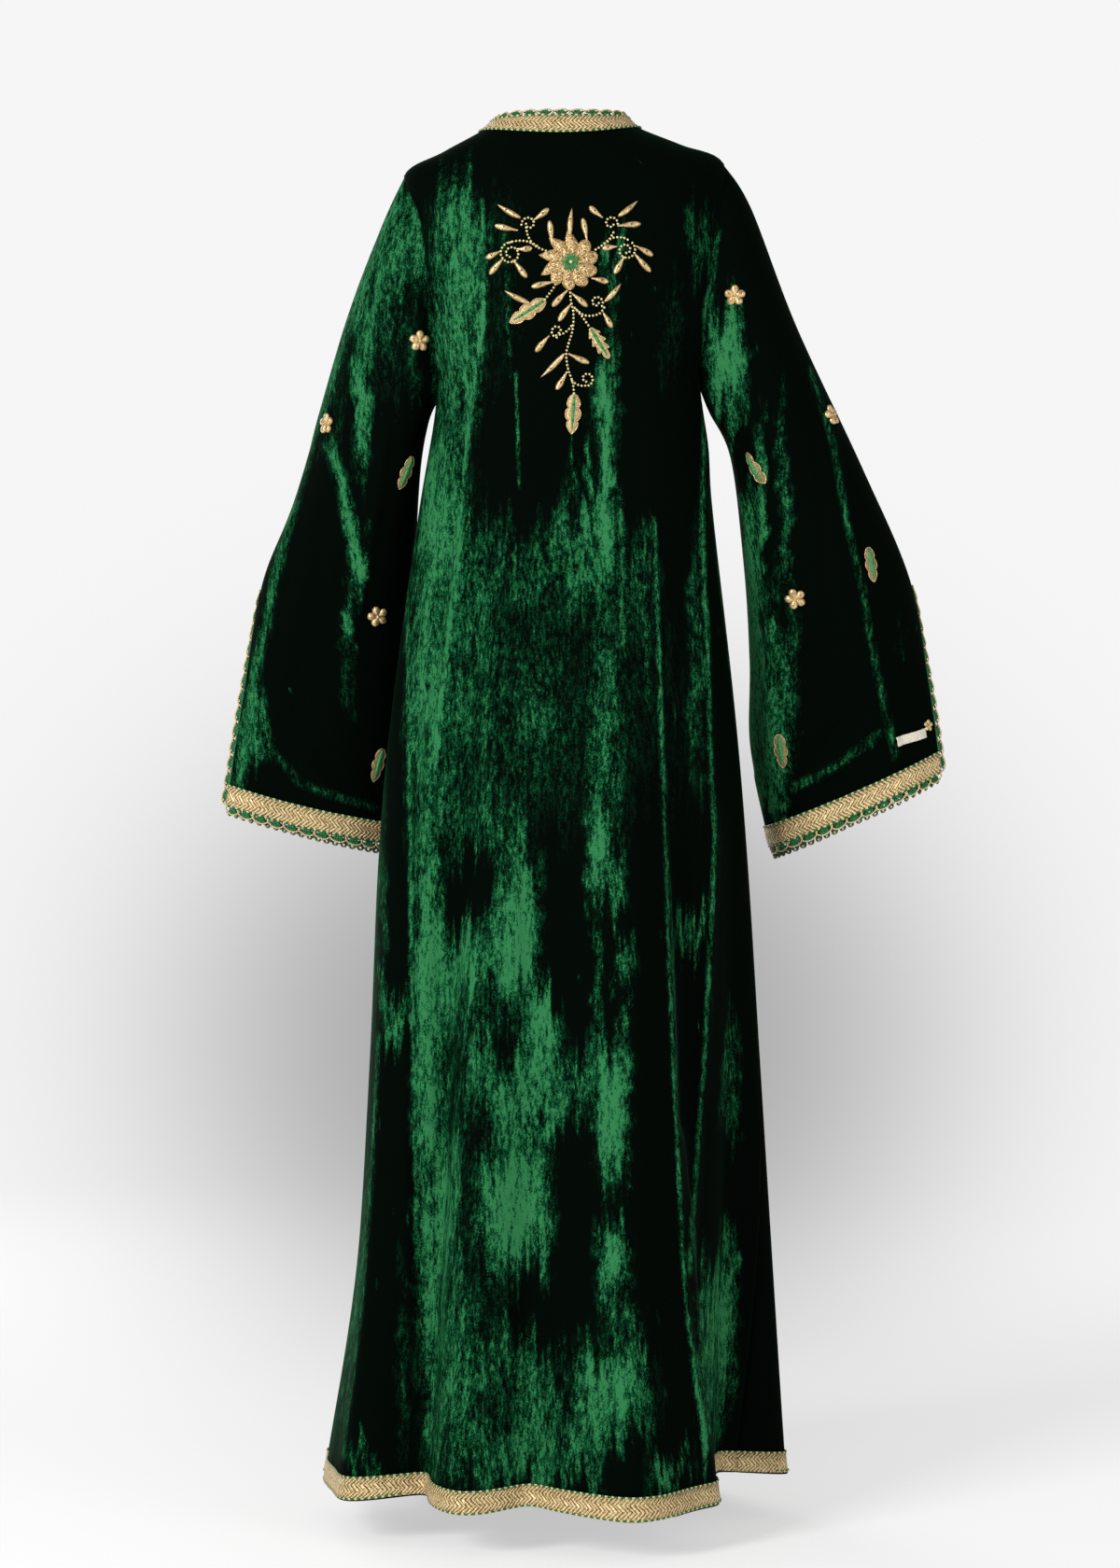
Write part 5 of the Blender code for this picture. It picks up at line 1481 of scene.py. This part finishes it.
@dataclass
class LoopEdging:
    """Looped edging along a cloth edge: green loops, a gold wave and, at the cuffs, picots."""

    finishes: Finishes
    pitch: float = 0.0190
    wave_middle: float = 0.0046
    wave_reach: float = 0.0036
    wave_curl: float = 0.0043
    gold_radius: float = 0.00090
    green_radius: float = 0.00125
    loop_half: tuple[float, float] = (0.0042, 0.0031)
    picot_pitch: float = 0.0102
    picot_reach: float = 0.0036
    picot_middle: float = 0.0082
    seam_rise: float = 0.0012
    seam_radius: float = 0.0011
    ring_points: int = 14

    def line(self, points: Array, inside: Array, normals: Array) -> None:
        """Take the edge that the loops hang on.

        Args:
            points: The cloth's edge.
            inside: The cloth's points one step in from it.
            normals: The cloth's normals there.
        """
        self.edge = points - normals * 0.5 * WALL
        self.way = unit(points - inside)
        self.normals = normals
        self.run = run_along(points)

    def place(self, along: Array, out: Array, lift: Array | float = 0.0) -> tuple[Array, Array]:
        """Return points and normals at places along the edge, out from it and off the cloth."""
        at = np.clip(along, 0.0, self.run[-1])
        point, way, normal = (blended(at, self.run, table)
                              for table in (self.edge, self.way, self.normals))
        lift = np.broadcast_to(np.asarray(lift, dtype=float), at.shape)
        return point + unit(way) * np.asarray(out)[..., None] + normal * lift[..., None], normal

    def build(self, node: str, picots: tuple[float, float] | None = None) -> list:
        """Make the edging in place of its node.

        Args:
            node: The node that it stands for.
            picots: Size of the hanging loops at the edge's two ends, or None for no loops.

        Returns:
            The edging's pieces.
        """
        length = self.run[-1]
        count = max(int(round(length / self.pitch)), 1)
        pitch = length / count
        green, gold = Joined(), Joined()
        straight = np.linspace(0.0, length, max(int(length / 0.004), 3))
        path, up = self.place(straight, np.full_like(straight, self.seam_rise))
        green.add(tube(path, up, self.seam_radius, 5))
        turns = full_turn(self.ring_points)
        for number in range(count):
            middle = (number + 0.5) * pitch
            for share, size in ((1.0, 1.0), (0.50, 0.85)):
                along = middle + self.loop_half[0] * share * np.cos(turns)
                out = self.wave_middle + 0.0006 + self.loop_half[1] * share * np.sin(turns)
                path, up = self.place(along, out)
                green.add(tube(path, up, self.green_radius * size, 5, True))
        steps = np.linspace(0.0, count, count * 14 + 1)
        wave = self.wave_middle + 0.0010 + 0.0030 * np.cos(2.0 * math.pi * steps)
        path, up = self.place(steps * pitch, wave, -0.0008)
        green.add(tube(path, up, self.green_radius * 0.85, 5))
        steps = np.linspace(0.0, count, count * 22 + 1)
        phase = 2.0 * math.pi * steps
        along = steps * pitch - self.wave_curl * np.sin(phase)
        out = self.wave_middle - self.wave_reach * np.cos(phase) + 0.0010
        path, up = self.place(along, out, 0.0012 + 0.0005 * np.sin(2.0 * phase))
        gold.add(tube(path, up, self.gold_radius, 5))
        pieces = [green.piece(node + "_green", self.finishes.green_cord, Slot.EDGING),
                  gold.piece(node + "_gold", self.finishes.gold_cord, Slot.EDGING)]
        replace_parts(pieces[0], node)
        if picots:
            hanging = Joined()
            number = int(length / self.picot_pitch)
            for index in range(number):
                share = (index + 0.5) / number
                size = np.interp(abs(2.0 * share - 1.0), (0.0, 1.0), (picots[1], picots[0]))
                along = share * length + self.picot_reach * size * np.cos(turns)
                out = self.picot_middle + self.picot_reach * size * (1.0 + np.sin(turns)) * 0.9
                path, up = self.place(along, out, -0.0006)
                hanging.add(tube(path, up, 0.0015 * (0.6 + 0.4 * size), 5, True))
            pieces.append(hanging.piece(node + "_picots", self.finishes.picot, Slot.EDGING))
        return pieces


@dataclass
class Ground:
    """The outside of a cloth piece as seen from behind, to lay embroidery on."""

    item: Piece
    x: float
    z: float
    lean: float = 0.0
    lift: float = 0.0004

    def __post_init__(self) -> None:
        mesh = self.item.data
        self.tree = BVHTree.FromPolygons([vertex.co.copy() for vertex in mesh.vertices],
                                         [tuple(face.vertices) for face in mesh.polygons])
        hit = self.tree.ray_cast(Vector((self.x, 1.0, self.z)), Vector((0.0, -1.0, 0.0)))
        self.middle, self.normal = hit[0], hit[1]
        down = Vector((0.0, 0.0, -1.0))
        down = (down - self.normal * down.dot(self.normal)).normalized()
        across = self.normal.cross(down).normalized()
        angle = math.radians(self.lean)
        self.down = down * math.cos(angle) + across * math.sin(angle)
        self.across = across * math.cos(angle) - down * math.sin(angle)

    def lay(self, vertices: Array) -> Array:
        """Return flat vertices (across, up, out) in metres laid on the cloth."""
        laid = []
        for across, up, out in vertices:
            start = self.middle + self.across * across - self.down * up + self.normal * 0.03
            point, normal, _, _ = self.tree.ray_cast(start, -self.normal)
            if point is None:
                point, normal = start - self.normal * 0.03, self.normal
            laid.append(point + (normal + self.normal).normalized() * (out + self.lift))
        return np.array(laid)


def ball(radius: float, subdivisions: int = 2) -> Shape:
    """Return a small round bead."""
    deselect()
    bpy.ops.mesh.primitive_ico_sphere_add(subdivisions=subdivisions, radius=radius)
    return Shape.of(bpy.context.object)


def pad(around: int = 16, along: int = 16) -> Shape:
    """Return a cushion of radius one along X, flat below, to be shaped into petals and drops."""
    deselect()
    bpy.ops.mesh.primitive_uv_sphere_add(segments=around, ring_count=along, radius=1.0)
    item = bpy.context.object
    bpy.ops.object.mode_set(mode="EDIT")
    bpy.ops.mesh.select_all(action="SELECT")
    bpy.ops.mesh.bisect(plane_co=(-0.02, 0.0, 0.0), plane_no=(1.0, 0.0, 0.0), use_fill=True,
                        clear_inner=True)
    bpy.ops.object.mode_set(mode="OBJECT")
    return Shape.of(item).moved(lambda vertices: vertices[:, (2, 1, 0)])


def outlined(vertices: Array, half_width: Callable[[Array], Array]) -> tuple[Array, Array, Array]:
    """Give a cushion a new outline.

    Args:
        vertices: The cushion's vertices.
        half_width: Half widths for places from 0 at the root to 1 at the tip.

    Returns:
        The place from root to tip, the distance to the side and the height, from 0 to 1.
    """
    run = 0.5 + 0.5 * vertices[:, 0]
    full = np.maximum(np.sqrt(np.maximum(1.0 - vertices[:, 0] ** 2, 0.0)), 1e-3)
    half = half_width(run)
    return run, vertices[:, 1] / full * half, vertices[:, 2] / full * np.sqrt(half)


def club(run: Array, waist: float = 0.30, widest: float = 0.68) -> Array:
    """Return half widths that grow from a narrow root to a round tip."""
    past = np.clip((run - widest) / (1.0 - widest), 0.0, 1.0)
    return (waist + (1.0 - waist) * smooth_step(run / widest)) * np.sqrt(1.0 - past ** 2)


def spear(run: Array) -> Array:
    """Return half widths that run out to a sharp tip."""
    return np.maximum(np.sin(math.pi * run ** 0.85), 0.0) ** 0.85 + 0.25 * (1.0 - run) ** 2


def turned(vertices: Array, angle: float, across: float = 0.0, up: float = 0.0) -> Array:
    """Return flat vertices turned by an angle in degrees and moved."""
    cosine, sine = math.cos(math.radians(angle)), math.sin(math.radians(angle))
    x = vertices[:, 0] * cosine - vertices[:, 1] * sine + across
    y = vertices[:, 0] * sine + vertices[:, 1] * cosine + up
    return np.stack([x, y, vertices[:, 2]], axis=1)


def drop_shape(base: Shape, length: float, width: float, height: float, bend: float,
               point: float) -> Shape:
    """Return a padded drop along +X from its root at the origin.

    Args:
        base: The round cushion.
        length: Root to tip.
        width: Its widest.
        height: Its crown.
        bend: How far the tip swings aside.
        point: 0 for a round tip, 1 for a sharp one.

    Returns:
        The drop.
    """
    def change(vertices: Array) -> Array:
        run, side, rise = outlined(
            vertices, lambda at: (1.0 - point) * club(at) + point * spear(at))
        return np.stack([run * length, side * 0.5 * width + bend * run ** 2, rise * height],
                        axis=1)
    return base.moved(change)


def leaf_shapes(length: float, width: float, height: float, lobes: int, jag: float,
                vein: float) -> tuple[Shape, Shape, Shape]:
    """Return a lobed leaf, its raised middle line and its edge cord, from its root along +X.

    Args:
        length: Root to tip.
        width: Its widest.
        height: Its crown.
        lobes: Lobes on each side.
        jag: 0 for round lobes, 1 for pointed ones.
        vein: Half width of the middle line as a share of the width.

    Returns:
        The leaf, the line and the cord.
    """
    rows = lobes * 14 + 1
    columns = 11
    run = np.linspace(0.0, 1.0, rows)
    swell = np.sin(math.pi * (0.08 + 0.92 * run)) ** 0.6
    round_lobes = 0.60 + 0.40 * np.abs(np.sin(math.pi * run * lobes)) ** 0.6
    teeth = 0.42 + 0.58 * ((run * lobes) % 1.0)
    notch = (1.0 - jag) * round_lobes + jag * teeth
    half = np.maximum(0.5 * width * swell * notch, 0.04 * width)
    half[-1] = 0.02 * width
    across = np.linspace(-1.0, 1.0, columns)
    x = np.repeat(run[:, None] * length, columns, axis=1)
    y = half[:, None] * across[None, :]
    rim = np.maximum(1.0 - np.abs(across) ** 3, 0.0)
    groove = 0.78 + 0.22 * np.clip(np.abs(across) * 3.0, 0.0, 1.0)
    z = height * rim[None, :] * groove[None, :] * np.sqrt(half / half.max())[:, None]
    top = np.stack([x, y, z], axis=-1).reshape(-1, 3)
    base = np.stack([x, y, np.zeros_like(z) - 0.0002], axis=-1).reshape(-1, 3)
    faces = []
    size = rows * columns
    for row in range(rows - 1):
        for column in range(columns - 1):
            a = row * columns + column
            quad = (a, a + 1, a + columns + 1, a + columns)
            faces.append(quad)
            faces.append(tuple(index + size for index in quad[::-1]))
    border = ([(0, c, c + 1) for c in range(columns - 1)]
              + [(rows - 1, c, c + 1) for c in range(columns - 1)])
    for row, first, second in border:
        a, b = row * columns + first, row * columns + second
        faces.append((a, b, b + size, a + size))
    for row in range(rows - 1):
        for column in (0, columns - 1):
            a, b = row * columns + column, (row + 1) * columns + column
            faces.append((a, b, b + size, a + size))
    vertices = np.concatenate([top, base])
    leaf = Shape(vertices, faces, np.zeros((len(vertices), 2)))
    route = np.stack([np.linspace(0.04, 0.90, 16) * length, np.zeros(16),
                      np.full(16, height * 0.80)], axis=1)
    radius = vein * width * np.sin(math.pi * np.linspace(0.12, 1.0, 16)) + 0.03 * width
    vein_line = tube(route, np.tile((0.0, 0.0, 1.0), (16, 1)), radius, 6)
    flat = vein_line.vertices
    flat[:, 2] = height * 0.80 + (flat[:, 2] - height * 0.80) * 0.5
    rim_x = np.concatenate([x[:, 0], x[::-1, -1]])
    rim_y = np.concatenate([y[:, 0], y[::-1, -1]])
    rim_path = np.stack([rim_x, rim_y, np.full_like(rim_x, 0.5)], axis=1)
    cord = tube(rim_path, np.tile((0.0, 0.0, 1.0), (len(rim_x), 1)), 0.62, 5, True)
    return leaf, vein_line, cord


@dataclass
class Motif:
    """The raised flower, sprigs, leaves and beaded stems on the upper back."""

    finishes: Finishes
    ground: Ground
    petal_kinds: str = "RRPPPPRRRR"
    petal_length: float = 34.0
    petal_width: float = 16.0
    petal_height: float = 3.4
    bead_radius: float = 1.5
    bead_step: float = 4.1
    drop_width: float = 7.2
    drop_height: float = 3.6
    crystals: Joined = field(default_factory=Joined)

    def lay(self, joined: Joined, shape: Shape) -> None:
        """Lay a flat shape in millimetres on the cloth and add it."""
        joined.add(shape.moved(lambda vertices: self.ground.lay(vertices * MILLIMETRE)))

    def set_crystal(self, place: Array, radius: float = 1.15) -> None:
        """Set a small dark crystal at a place across, up and out, in millimetres."""
        self.lay(self.crystals, ball(radius, 1).moved(lambda v: v + place))

    def flower(self) -> Piece:
        """Make the pinwheel flower, its petals round or with a curled tip."""
        base = pad(20, 20)
        joined = Joined()
        for number, kind in enumerate(self.petal_kinds):
            curled = kind == "P"
            angle = 360.0 * number / len(self.petal_kinds) + 8.0
            length = self.petal_length * (1.04 if curled else 0.92)
            width = self.petal_width * (0.84 if curled else 1.0)

            def petal(vertices: Array) -> Array:
                run, side, rise = outlined(
                    vertices, lambda at: 1.15 * spear(at ** 1.25) if curled else
                    club(at, 0.35, 0.70))
                swing = (10.0 if curled else 3.0) * run ** 2.6
                return np.stack([run * length, side * 0.5 * width + swing,
                                 rise * self.petal_height], axis=1)

            self.lay(joined, base.moved(petal).moved(lambda v: turned(v, angle)))
            for radius, lean in ((16.0, 9.0), (20.0, -6.0), (25.5, 6.0)):
                seat = turned(np.array([[radius, 0.0, 2.7]]), angle + lean)[0]
                self.set_crystal(seat)
        return joined.piece("motif_flower", self.finishes.sequin)

    def flower_eye(self) -> list[Piece]:
        """Make the green stitches round the flower's middle and the bead in it."""
        stitches = Joined()
        for number in range(34):
            angle = 360.0 * number / 34.0
            reach = 8.0 + 4.4 * abs(math.sin(number * 1.9))
            route = np.array([(2.0, 0.0, 2.9), (0.5 * reach, 0.0, 3.6), (reach, 0.0, 3.4)])
            shape = tube(route, np.tile((0.0, 0.0, 1.0), (3, 1)), 0.42, 5)
            self.lay(stitches, shape.moved(lambda v: turned(v, angle)))
        middle = Joined()
        self.lay(middle, ball(2.3, 3).moved(lambda v: v + np.array([0.0, 0.0, 4.2])))
        return [stitches.piece("motif_eye", self.finishes.green_stitch),
                middle.piece("motif_pearl", self.finishes.bead)]

    def drops(self) -> Piece:
        """Make the padded drops, each with its small crystal."""
        base = pad()
        pads = Joined()
        for number, drop in enumerate(DROPS):
            long = number in LONG_DROPS
            bend = 2.2 * (1.0 if number % 2 else -1.0) * (1.6 if long else 0.5)
            width = self.drop_width * (0.84 if long else 1.0)
            shape = drop_shape(base, drop.length, width, self.drop_height, bend,
                               1.0 if long else 0.0)
            self.lay(pads, shape.moved(lambda v: turned(v, drop.angle, drop.across, drop.up)))
            seat = np.array([[drop.length * 0.60, bend * 0.36, self.drop_height + 0.1]])
            seat = turned(seat, drop.angle, drop.across, drop.up)[0]
            self.set_crystal(seat)
        return pads.piece("motif_drops", self.finishes.satin)

    def routes(self) -> list[Array]:
        """Return the beaded lines: smooth stems and spirals."""
        lines = []
        for stem in STEMS:
            corners = np.array(stem, dtype=float)
            at = np.linspace(0.0, len(corners) - 1.0, 12 * len(corners))
            lines.append(read_rows(corners, at))
        for curl in SPIRALS:
            share = np.linspace(0.0, 1.0, 80)
            turn = np.radians(curl.start + curl.turn * share)
            radius = curl.radius * (1.0 - 0.72 * share)
            lines.append(np.stack([curl.across + radius * np.cos(turn),
                                   curl.up + radius * np.sin(turn)], axis=1))
        return lines

    def beads(self) -> Piece:
        """String the gold beads along the stems and spirals."""
        bead = ball(self.bead_radius)
        joined = Joined()
        for line in self.routes():
            run = run_along(line)
            for at in np.arange(0.5 * self.bead_step, run[-1], self.bead_step):
                place = np.array([np.interp(at, run, line[:, 0]), np.interp(at, run, line[:, 1]),
                                  self.bead_radius * 0.8])
                self.lay(joined, bead.moved(lambda v: v + place))
        return joined.piece("motif_beads", self.finishes.bead)

    def leaves(self) -> list[Piece]:
        """Make the two lobed leaves and the jagged one."""
        gold, green, rims = Joined(), Joined(), Joined()
        for leaf, lobes, jag in ((ROUND_LEAVES[0], 3, 0.0), (ROUND_LEAVES[1], 3, 0.0),
                                 (JAGGED_LEAF, 4, 1.0)):
            for joined, shape in zip((gold, green, rims),
                                     leaf_shapes(leaf.length, 17.5, 2.4, lobes, jag, 0.085)):
                self.lay(joined, shape.moved(
                    lambda v: turned(v, leaf.angle, leaf.across, leaf.up)))
            for share in (0.25, 0.45, 0.66):
                seat = np.array([[leaf.length * share, 0.0, 3.2]])
                self.set_crystal(turned(seat, leaf.angle, leaf.across, leaf.up)[0])
        return [gold.piece("motif_leaves", self.finishes.leaf),
                green.piece("motif_leaf_veins", self.finishes.green_stitch),
                rims.piece("motif_leaf_edges", self.finishes.satin)]

    def build(self) -> list[Piece]:
        """Make the whole motif in place of its node."""
        pieces = [self.flower(), *self.flower_eye(), self.drops(), self.beads(), *self.leaves()]
        pieces.append(self.crystals.piece("motif_crystals", self.finishes.crystal))
        for piece in pieces:
            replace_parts(piece, "back_motif")
        return pieces


@dataclass
class SleeveAppliques:
    """The small padded flowers and the lobed leaves of the sleeves."""

    finishes: Finishes
    garment: Garment
    radius: float = 12.2
    height: float = 3.6
    leaf_length: float = 40.0
    leaf_width: float = 15.5

    def ground(self, name: str, place: tuple[float, float, float]) -> Ground:
        """Return the cloth that a named applique lies on."""
        sleeve = "sleeve_left" if "left" in name else "sleeve_right"
        return Ground(self.garment.pieces[sleeve], *place)

    def flower(self, name: str, node: str, ground: Ground, radius: float) -> list:
        """Make a five-petalled flower with a crystal on each petal."""
        base = pad(14, 12)
        petals, crystals = Joined(), Joined()
        crystal = ball(0.07 * radius, 1)
        width = 0.78 * radius
        height = self.height * radius / self.radius

        def petal(vertices: Array) -> Array:
            run, side, rise = outlined(vertices, lambda at: club(at, 0.35, 0.62))
            return np.stack([run * radius, side * 0.5 * width, rise * height], axis=1)

        for number in range(5):
            angle = 72.0 * number + 18.0
            shape = base.moved(petal).moved(lambda v: turned(v, angle))
            petals.add(shape.moved(lambda v: ground.lay(v * MILLIMETRE)))
            seat = turned(np.array([[0.62 * radius, 0.0, 0.26 * radius]]), angle)[0]
            crystals.add(crystal.moved(lambda v: ground.lay((v + seat) * MILLIMETRE)))
        middle = ball(0.16 * radius).moved(lambda v: v + np.array([0.0, 0.0, 0.2 * radius]))
        petals.add(middle.moved(lambda v: ground.lay(v * MILLIMETRE)))
        pieces = [petals.piece(name + "_petals", self.finishes.satin),
                  crystals.piece(name + "_crystals", self.finishes.crystal)]
        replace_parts(pieces[0], node)
        return pieces

    def leaf(self, name: str, ground: Ground) -> list:
        """Make a lobed leaf with a green middle, its tip down."""
        pieces = []
        words = (("_ground", self.finishes.dark_leaf), ("_green", self.finishes.green_stitch),
                 ("_edge", self.finishes.satin))
        shapes = leaf_shapes(self.leaf_length, self.leaf_width, 2.2, 3, 0.0, 0.17)
        for shape, (word, finish) in zip(shapes, words):
            joined = Joined()
            moved = shape.moved(lambda v: turned(v, -90.0, 0.0, 0.5 * self.leaf_length))
            joined.add(moved.moved(lambda v: ground.lay(v * MILLIMETRE)))
            pieces.append(joined.piece(name + word, finish))
        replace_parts(pieces[0], name)
        return pieces

    def build(self) -> None:
        """Make every applique of the two sleeves."""
        for name, place in FLOWERS.items():
            self.flower(name, name, self.ground(name, place), self.radius)
        for name, place in LEAVES.items():
            self.leaf(name, self.ground(name, place))


@dataclass
class Ribbon:
    """The bare ribbon at the right cuff and the small gold flower at its end."""

    finishes: Finishes
    garment: Garment
    place: tuple[float, float, float] = (-0.4065, -0.690, 14.0)
    length: float = 0.045
    width: float = 0.011
    flower_place: tuple[float, float, float] = (-0.4275, -0.676, 0.0)
    flower_radius: float = 7.0

    def build(self, appliques: SleeveAppliques) -> Piece:
        """Lay the ribbon on the sleeve and set the flower on its end."""
        ground = Ground(self.garment.pieces["sleeve_right"], *self.place)
        across = np.linspace(-0.5, 0.5, 25) * self.length
        up = np.linspace(-0.5, 0.5, 9) * self.width
        flat = np.stack(np.meshgrid(across, up), -1).reshape(-1, 2)
        rise = 0.0016 + 0.0006 * np.sin(flat[:, 0] / self.length * 9.0)
        points = ground.lay(np.column_stack([flat, rise])).reshape(9, 25, 3)
        normals = np.tile(np.array(ground.normal), (9, 25, 1))
        item = cloth_sheet(points, normals, grid_uv(points), 0.0006)
        settle(item, "ribbon_bare", self.finishes.ribbon, Slot.RIBBON)
        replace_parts(item, "label")
        end = Ground(self.garment.pieces["sleeve_right"], *self.flower_place)
        appliques.flower("ribbon_end", "ribbon_flower", end, self.flower_radius)
        return item


@dataclass
class Buttons:
    """The knotted thread buttons of the front and the loops that hold them."""

    finishes: Finishes
    count: int = 7
    radius: float = 0.0053
    cord: float = 0.0011
    ring_points: int = 24
    loop_half: tuple[float, float] = (0.0072, 0.0064)
    loop_depth: float = 0.0016
    loop_radius: float = 0.0008

    def knot(self) -> Shape:
        """Return a ball wound from thread, about the origin."""
        joined = Joined()
        turns = full_turn(self.ring_points)
        inner = self.radius - self.cord
        for axis in range(3):
            for offset in (-0.45, 0.0, 0.45):
                reach = math.sqrt(1.0 - offset * offset) * inner
                ring = np.stack([reach * np.cos(turns), reach * np.sin(turns),
                                 np.full_like(turns, offset * inner)], axis=1)
                path = np.roll(ring, axis, axis=1)
                joined.add(tube(path, unit(path), self.cord, 5, True))
        joined.add(ball(inner))
        return joined.shape()

    def build(self) -> None:
        """Set a knot in the place of every button, with a cord loop under it."""
        knot = self.knot()
        loops = Joined()
        turns = full_turn(self.ring_points)
        ahead = np.tile((0.0, -1.0, 0.0), (self.ring_points, 1))
        for number in range(1, self.count + 1):
            node = f"button_{number}"
            low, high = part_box(node)
            middle = np.array((low + high) / 2.0)
            joined = Joined()
            joined.add(knot.moved(lambda v: v + middle))
            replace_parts(joined.piece(node + "_knot", self.finishes.knot, Slot.BUTTON), node)
            behind = float(high[1]) - middle[1] - self.loop_depth
            ring = np.stack([self.loop_half[0] * np.cos(turns), np.full_like(turns, behind),
                             self.loop_half[1] * np.sin(turns)], axis=1)
            loops.add(tube(ring + middle, ahead, self.loop_radius, 6, True))
        loops.piece("button_loops", self.finishes.knot, Slot.BUTTON)


@dataclass
class Studio:
    """The camera, the pale floor and the soft lights."""

    finishes: Finishes
    floor_radius: float = 60.0
    ambient: float = 0.34
    key_power: float = 260.0
    fill_power: float = 55.0
    front_power: float = 70.0

    def light(self, name: str, place: tuple[float, float, float], size: float,
              power: float) -> None:
        """Add a soft square light that faces the kaftan."""
        data = bpy.data.lights.new(name, "AREA")
        data.size = size
        data.energy = power
        lamp = bpy.data.objects.new(name, data)
        bpy.context.scene.collection.objects.link(lamp)
        lamp.location = place
        target = Vector((0.0, 0.0, CAMERA_Z))
        lamp.rotation_euler = (target - lamp.location).to_track_quat("-Z", "Y").to_euler()

    def build(self) -> None:
        """Set up the photograph's view."""
        scene = bpy.context.scene
        camera = bpy.data.cameras.new("camera")
        camera.sensor_fit = "VERTICAL"
        camera.sensor_height = SENSOR
        camera.sensor_width = SENSOR
        camera.lens = FOCAL / PHOTO_HEIGHT * SENSOR
        camera.clip_end = 200.0
        holder = bpy.data.objects.new("camera", camera)
        scene.collection.objects.link(holder)
        holder.location = (0.0, CAMERA_Y, CAMERA_Z)
        holder.rotation_euler = (math.radians(90.0), 0.0, math.radians(180.0))
        scene.camera = holder
        deselect()
        bpy.ops.mesh.primitive_circle_add(vertices=96, radius=self.floor_radius,
                                          fill_type="NGON", location=(0.0, 0.0, FLOOR_Z))
        floor = bpy.context.object
        floor.name = "floor"
        floor.data.materials.append(self.finishes.floor)
        scene.world = self.finishes.paper.world(self.ambient)
        scene.view_settings.view_transform = "Standard"
        self.light("key", (3.0, 4.2, 1.4), 1.8, self.key_power)
        self.light("fill", (-3.4, 3.6, 0.4), 2.4, self.fill_power)
        self.light("front", (2.2, -4.0, 0.8), 2.4, self.front_power)


def main() -> None:
    """Build the kaftan piece by piece and report each one."""
    log = logging.getLogger("kaftan")
    finishes = Finishes()
    Studio(finishes).build()
    garment = Garment(finishes)
    garment.build()
    log.info("cloth: %s", ", ".join(garment.pieces))
    braids = Braids(finishes, garment)
    braids.build()
    log.info("braids: %s", ", ".join(braids.pieces))
    edging = LoopEdging(finishes)
    edging.line(braids.neck.points[0], braids.neck.points[1], braids.neck.normals[0])
    edging.build("neck_edging")
    for side in Side:
        cloth = garment.cloths["sleeve_" + side.word]
        edging.line(cloth.points[-1], cloth.points[-2], cloth.normals[-1])
        edging.build("cuff_edging_" + side.word, (0.45, 1.0))
        slit = slice(garment.slit_row, None)
        for word, column, inside in (("back", 0, 1), ("front", -1, -2)):
            edging.line(cloth.points[slit, column], cloth.points[slit, inside],
                        cloth.normals[slit, column])
            edging.build(f"slit_edging_{side.word}_{word}")
    log.info("edgings made")
    Motif(finishes, Ground(garment.pieces["back_panel"], MOTIF_X, MOTIF_Z)).build()
    log.info("back motif made")
    appliques = SleeveAppliques(finishes, garment)
    appliques.build()
    Ribbon(finishes, garment).build(appliques)
    Buttons(finishes).build()
    log.info("appliques, ribbon and buttons made")


if __name__ == "__main__":
    logging.basicConfig(level=logging.INFO)
    main()
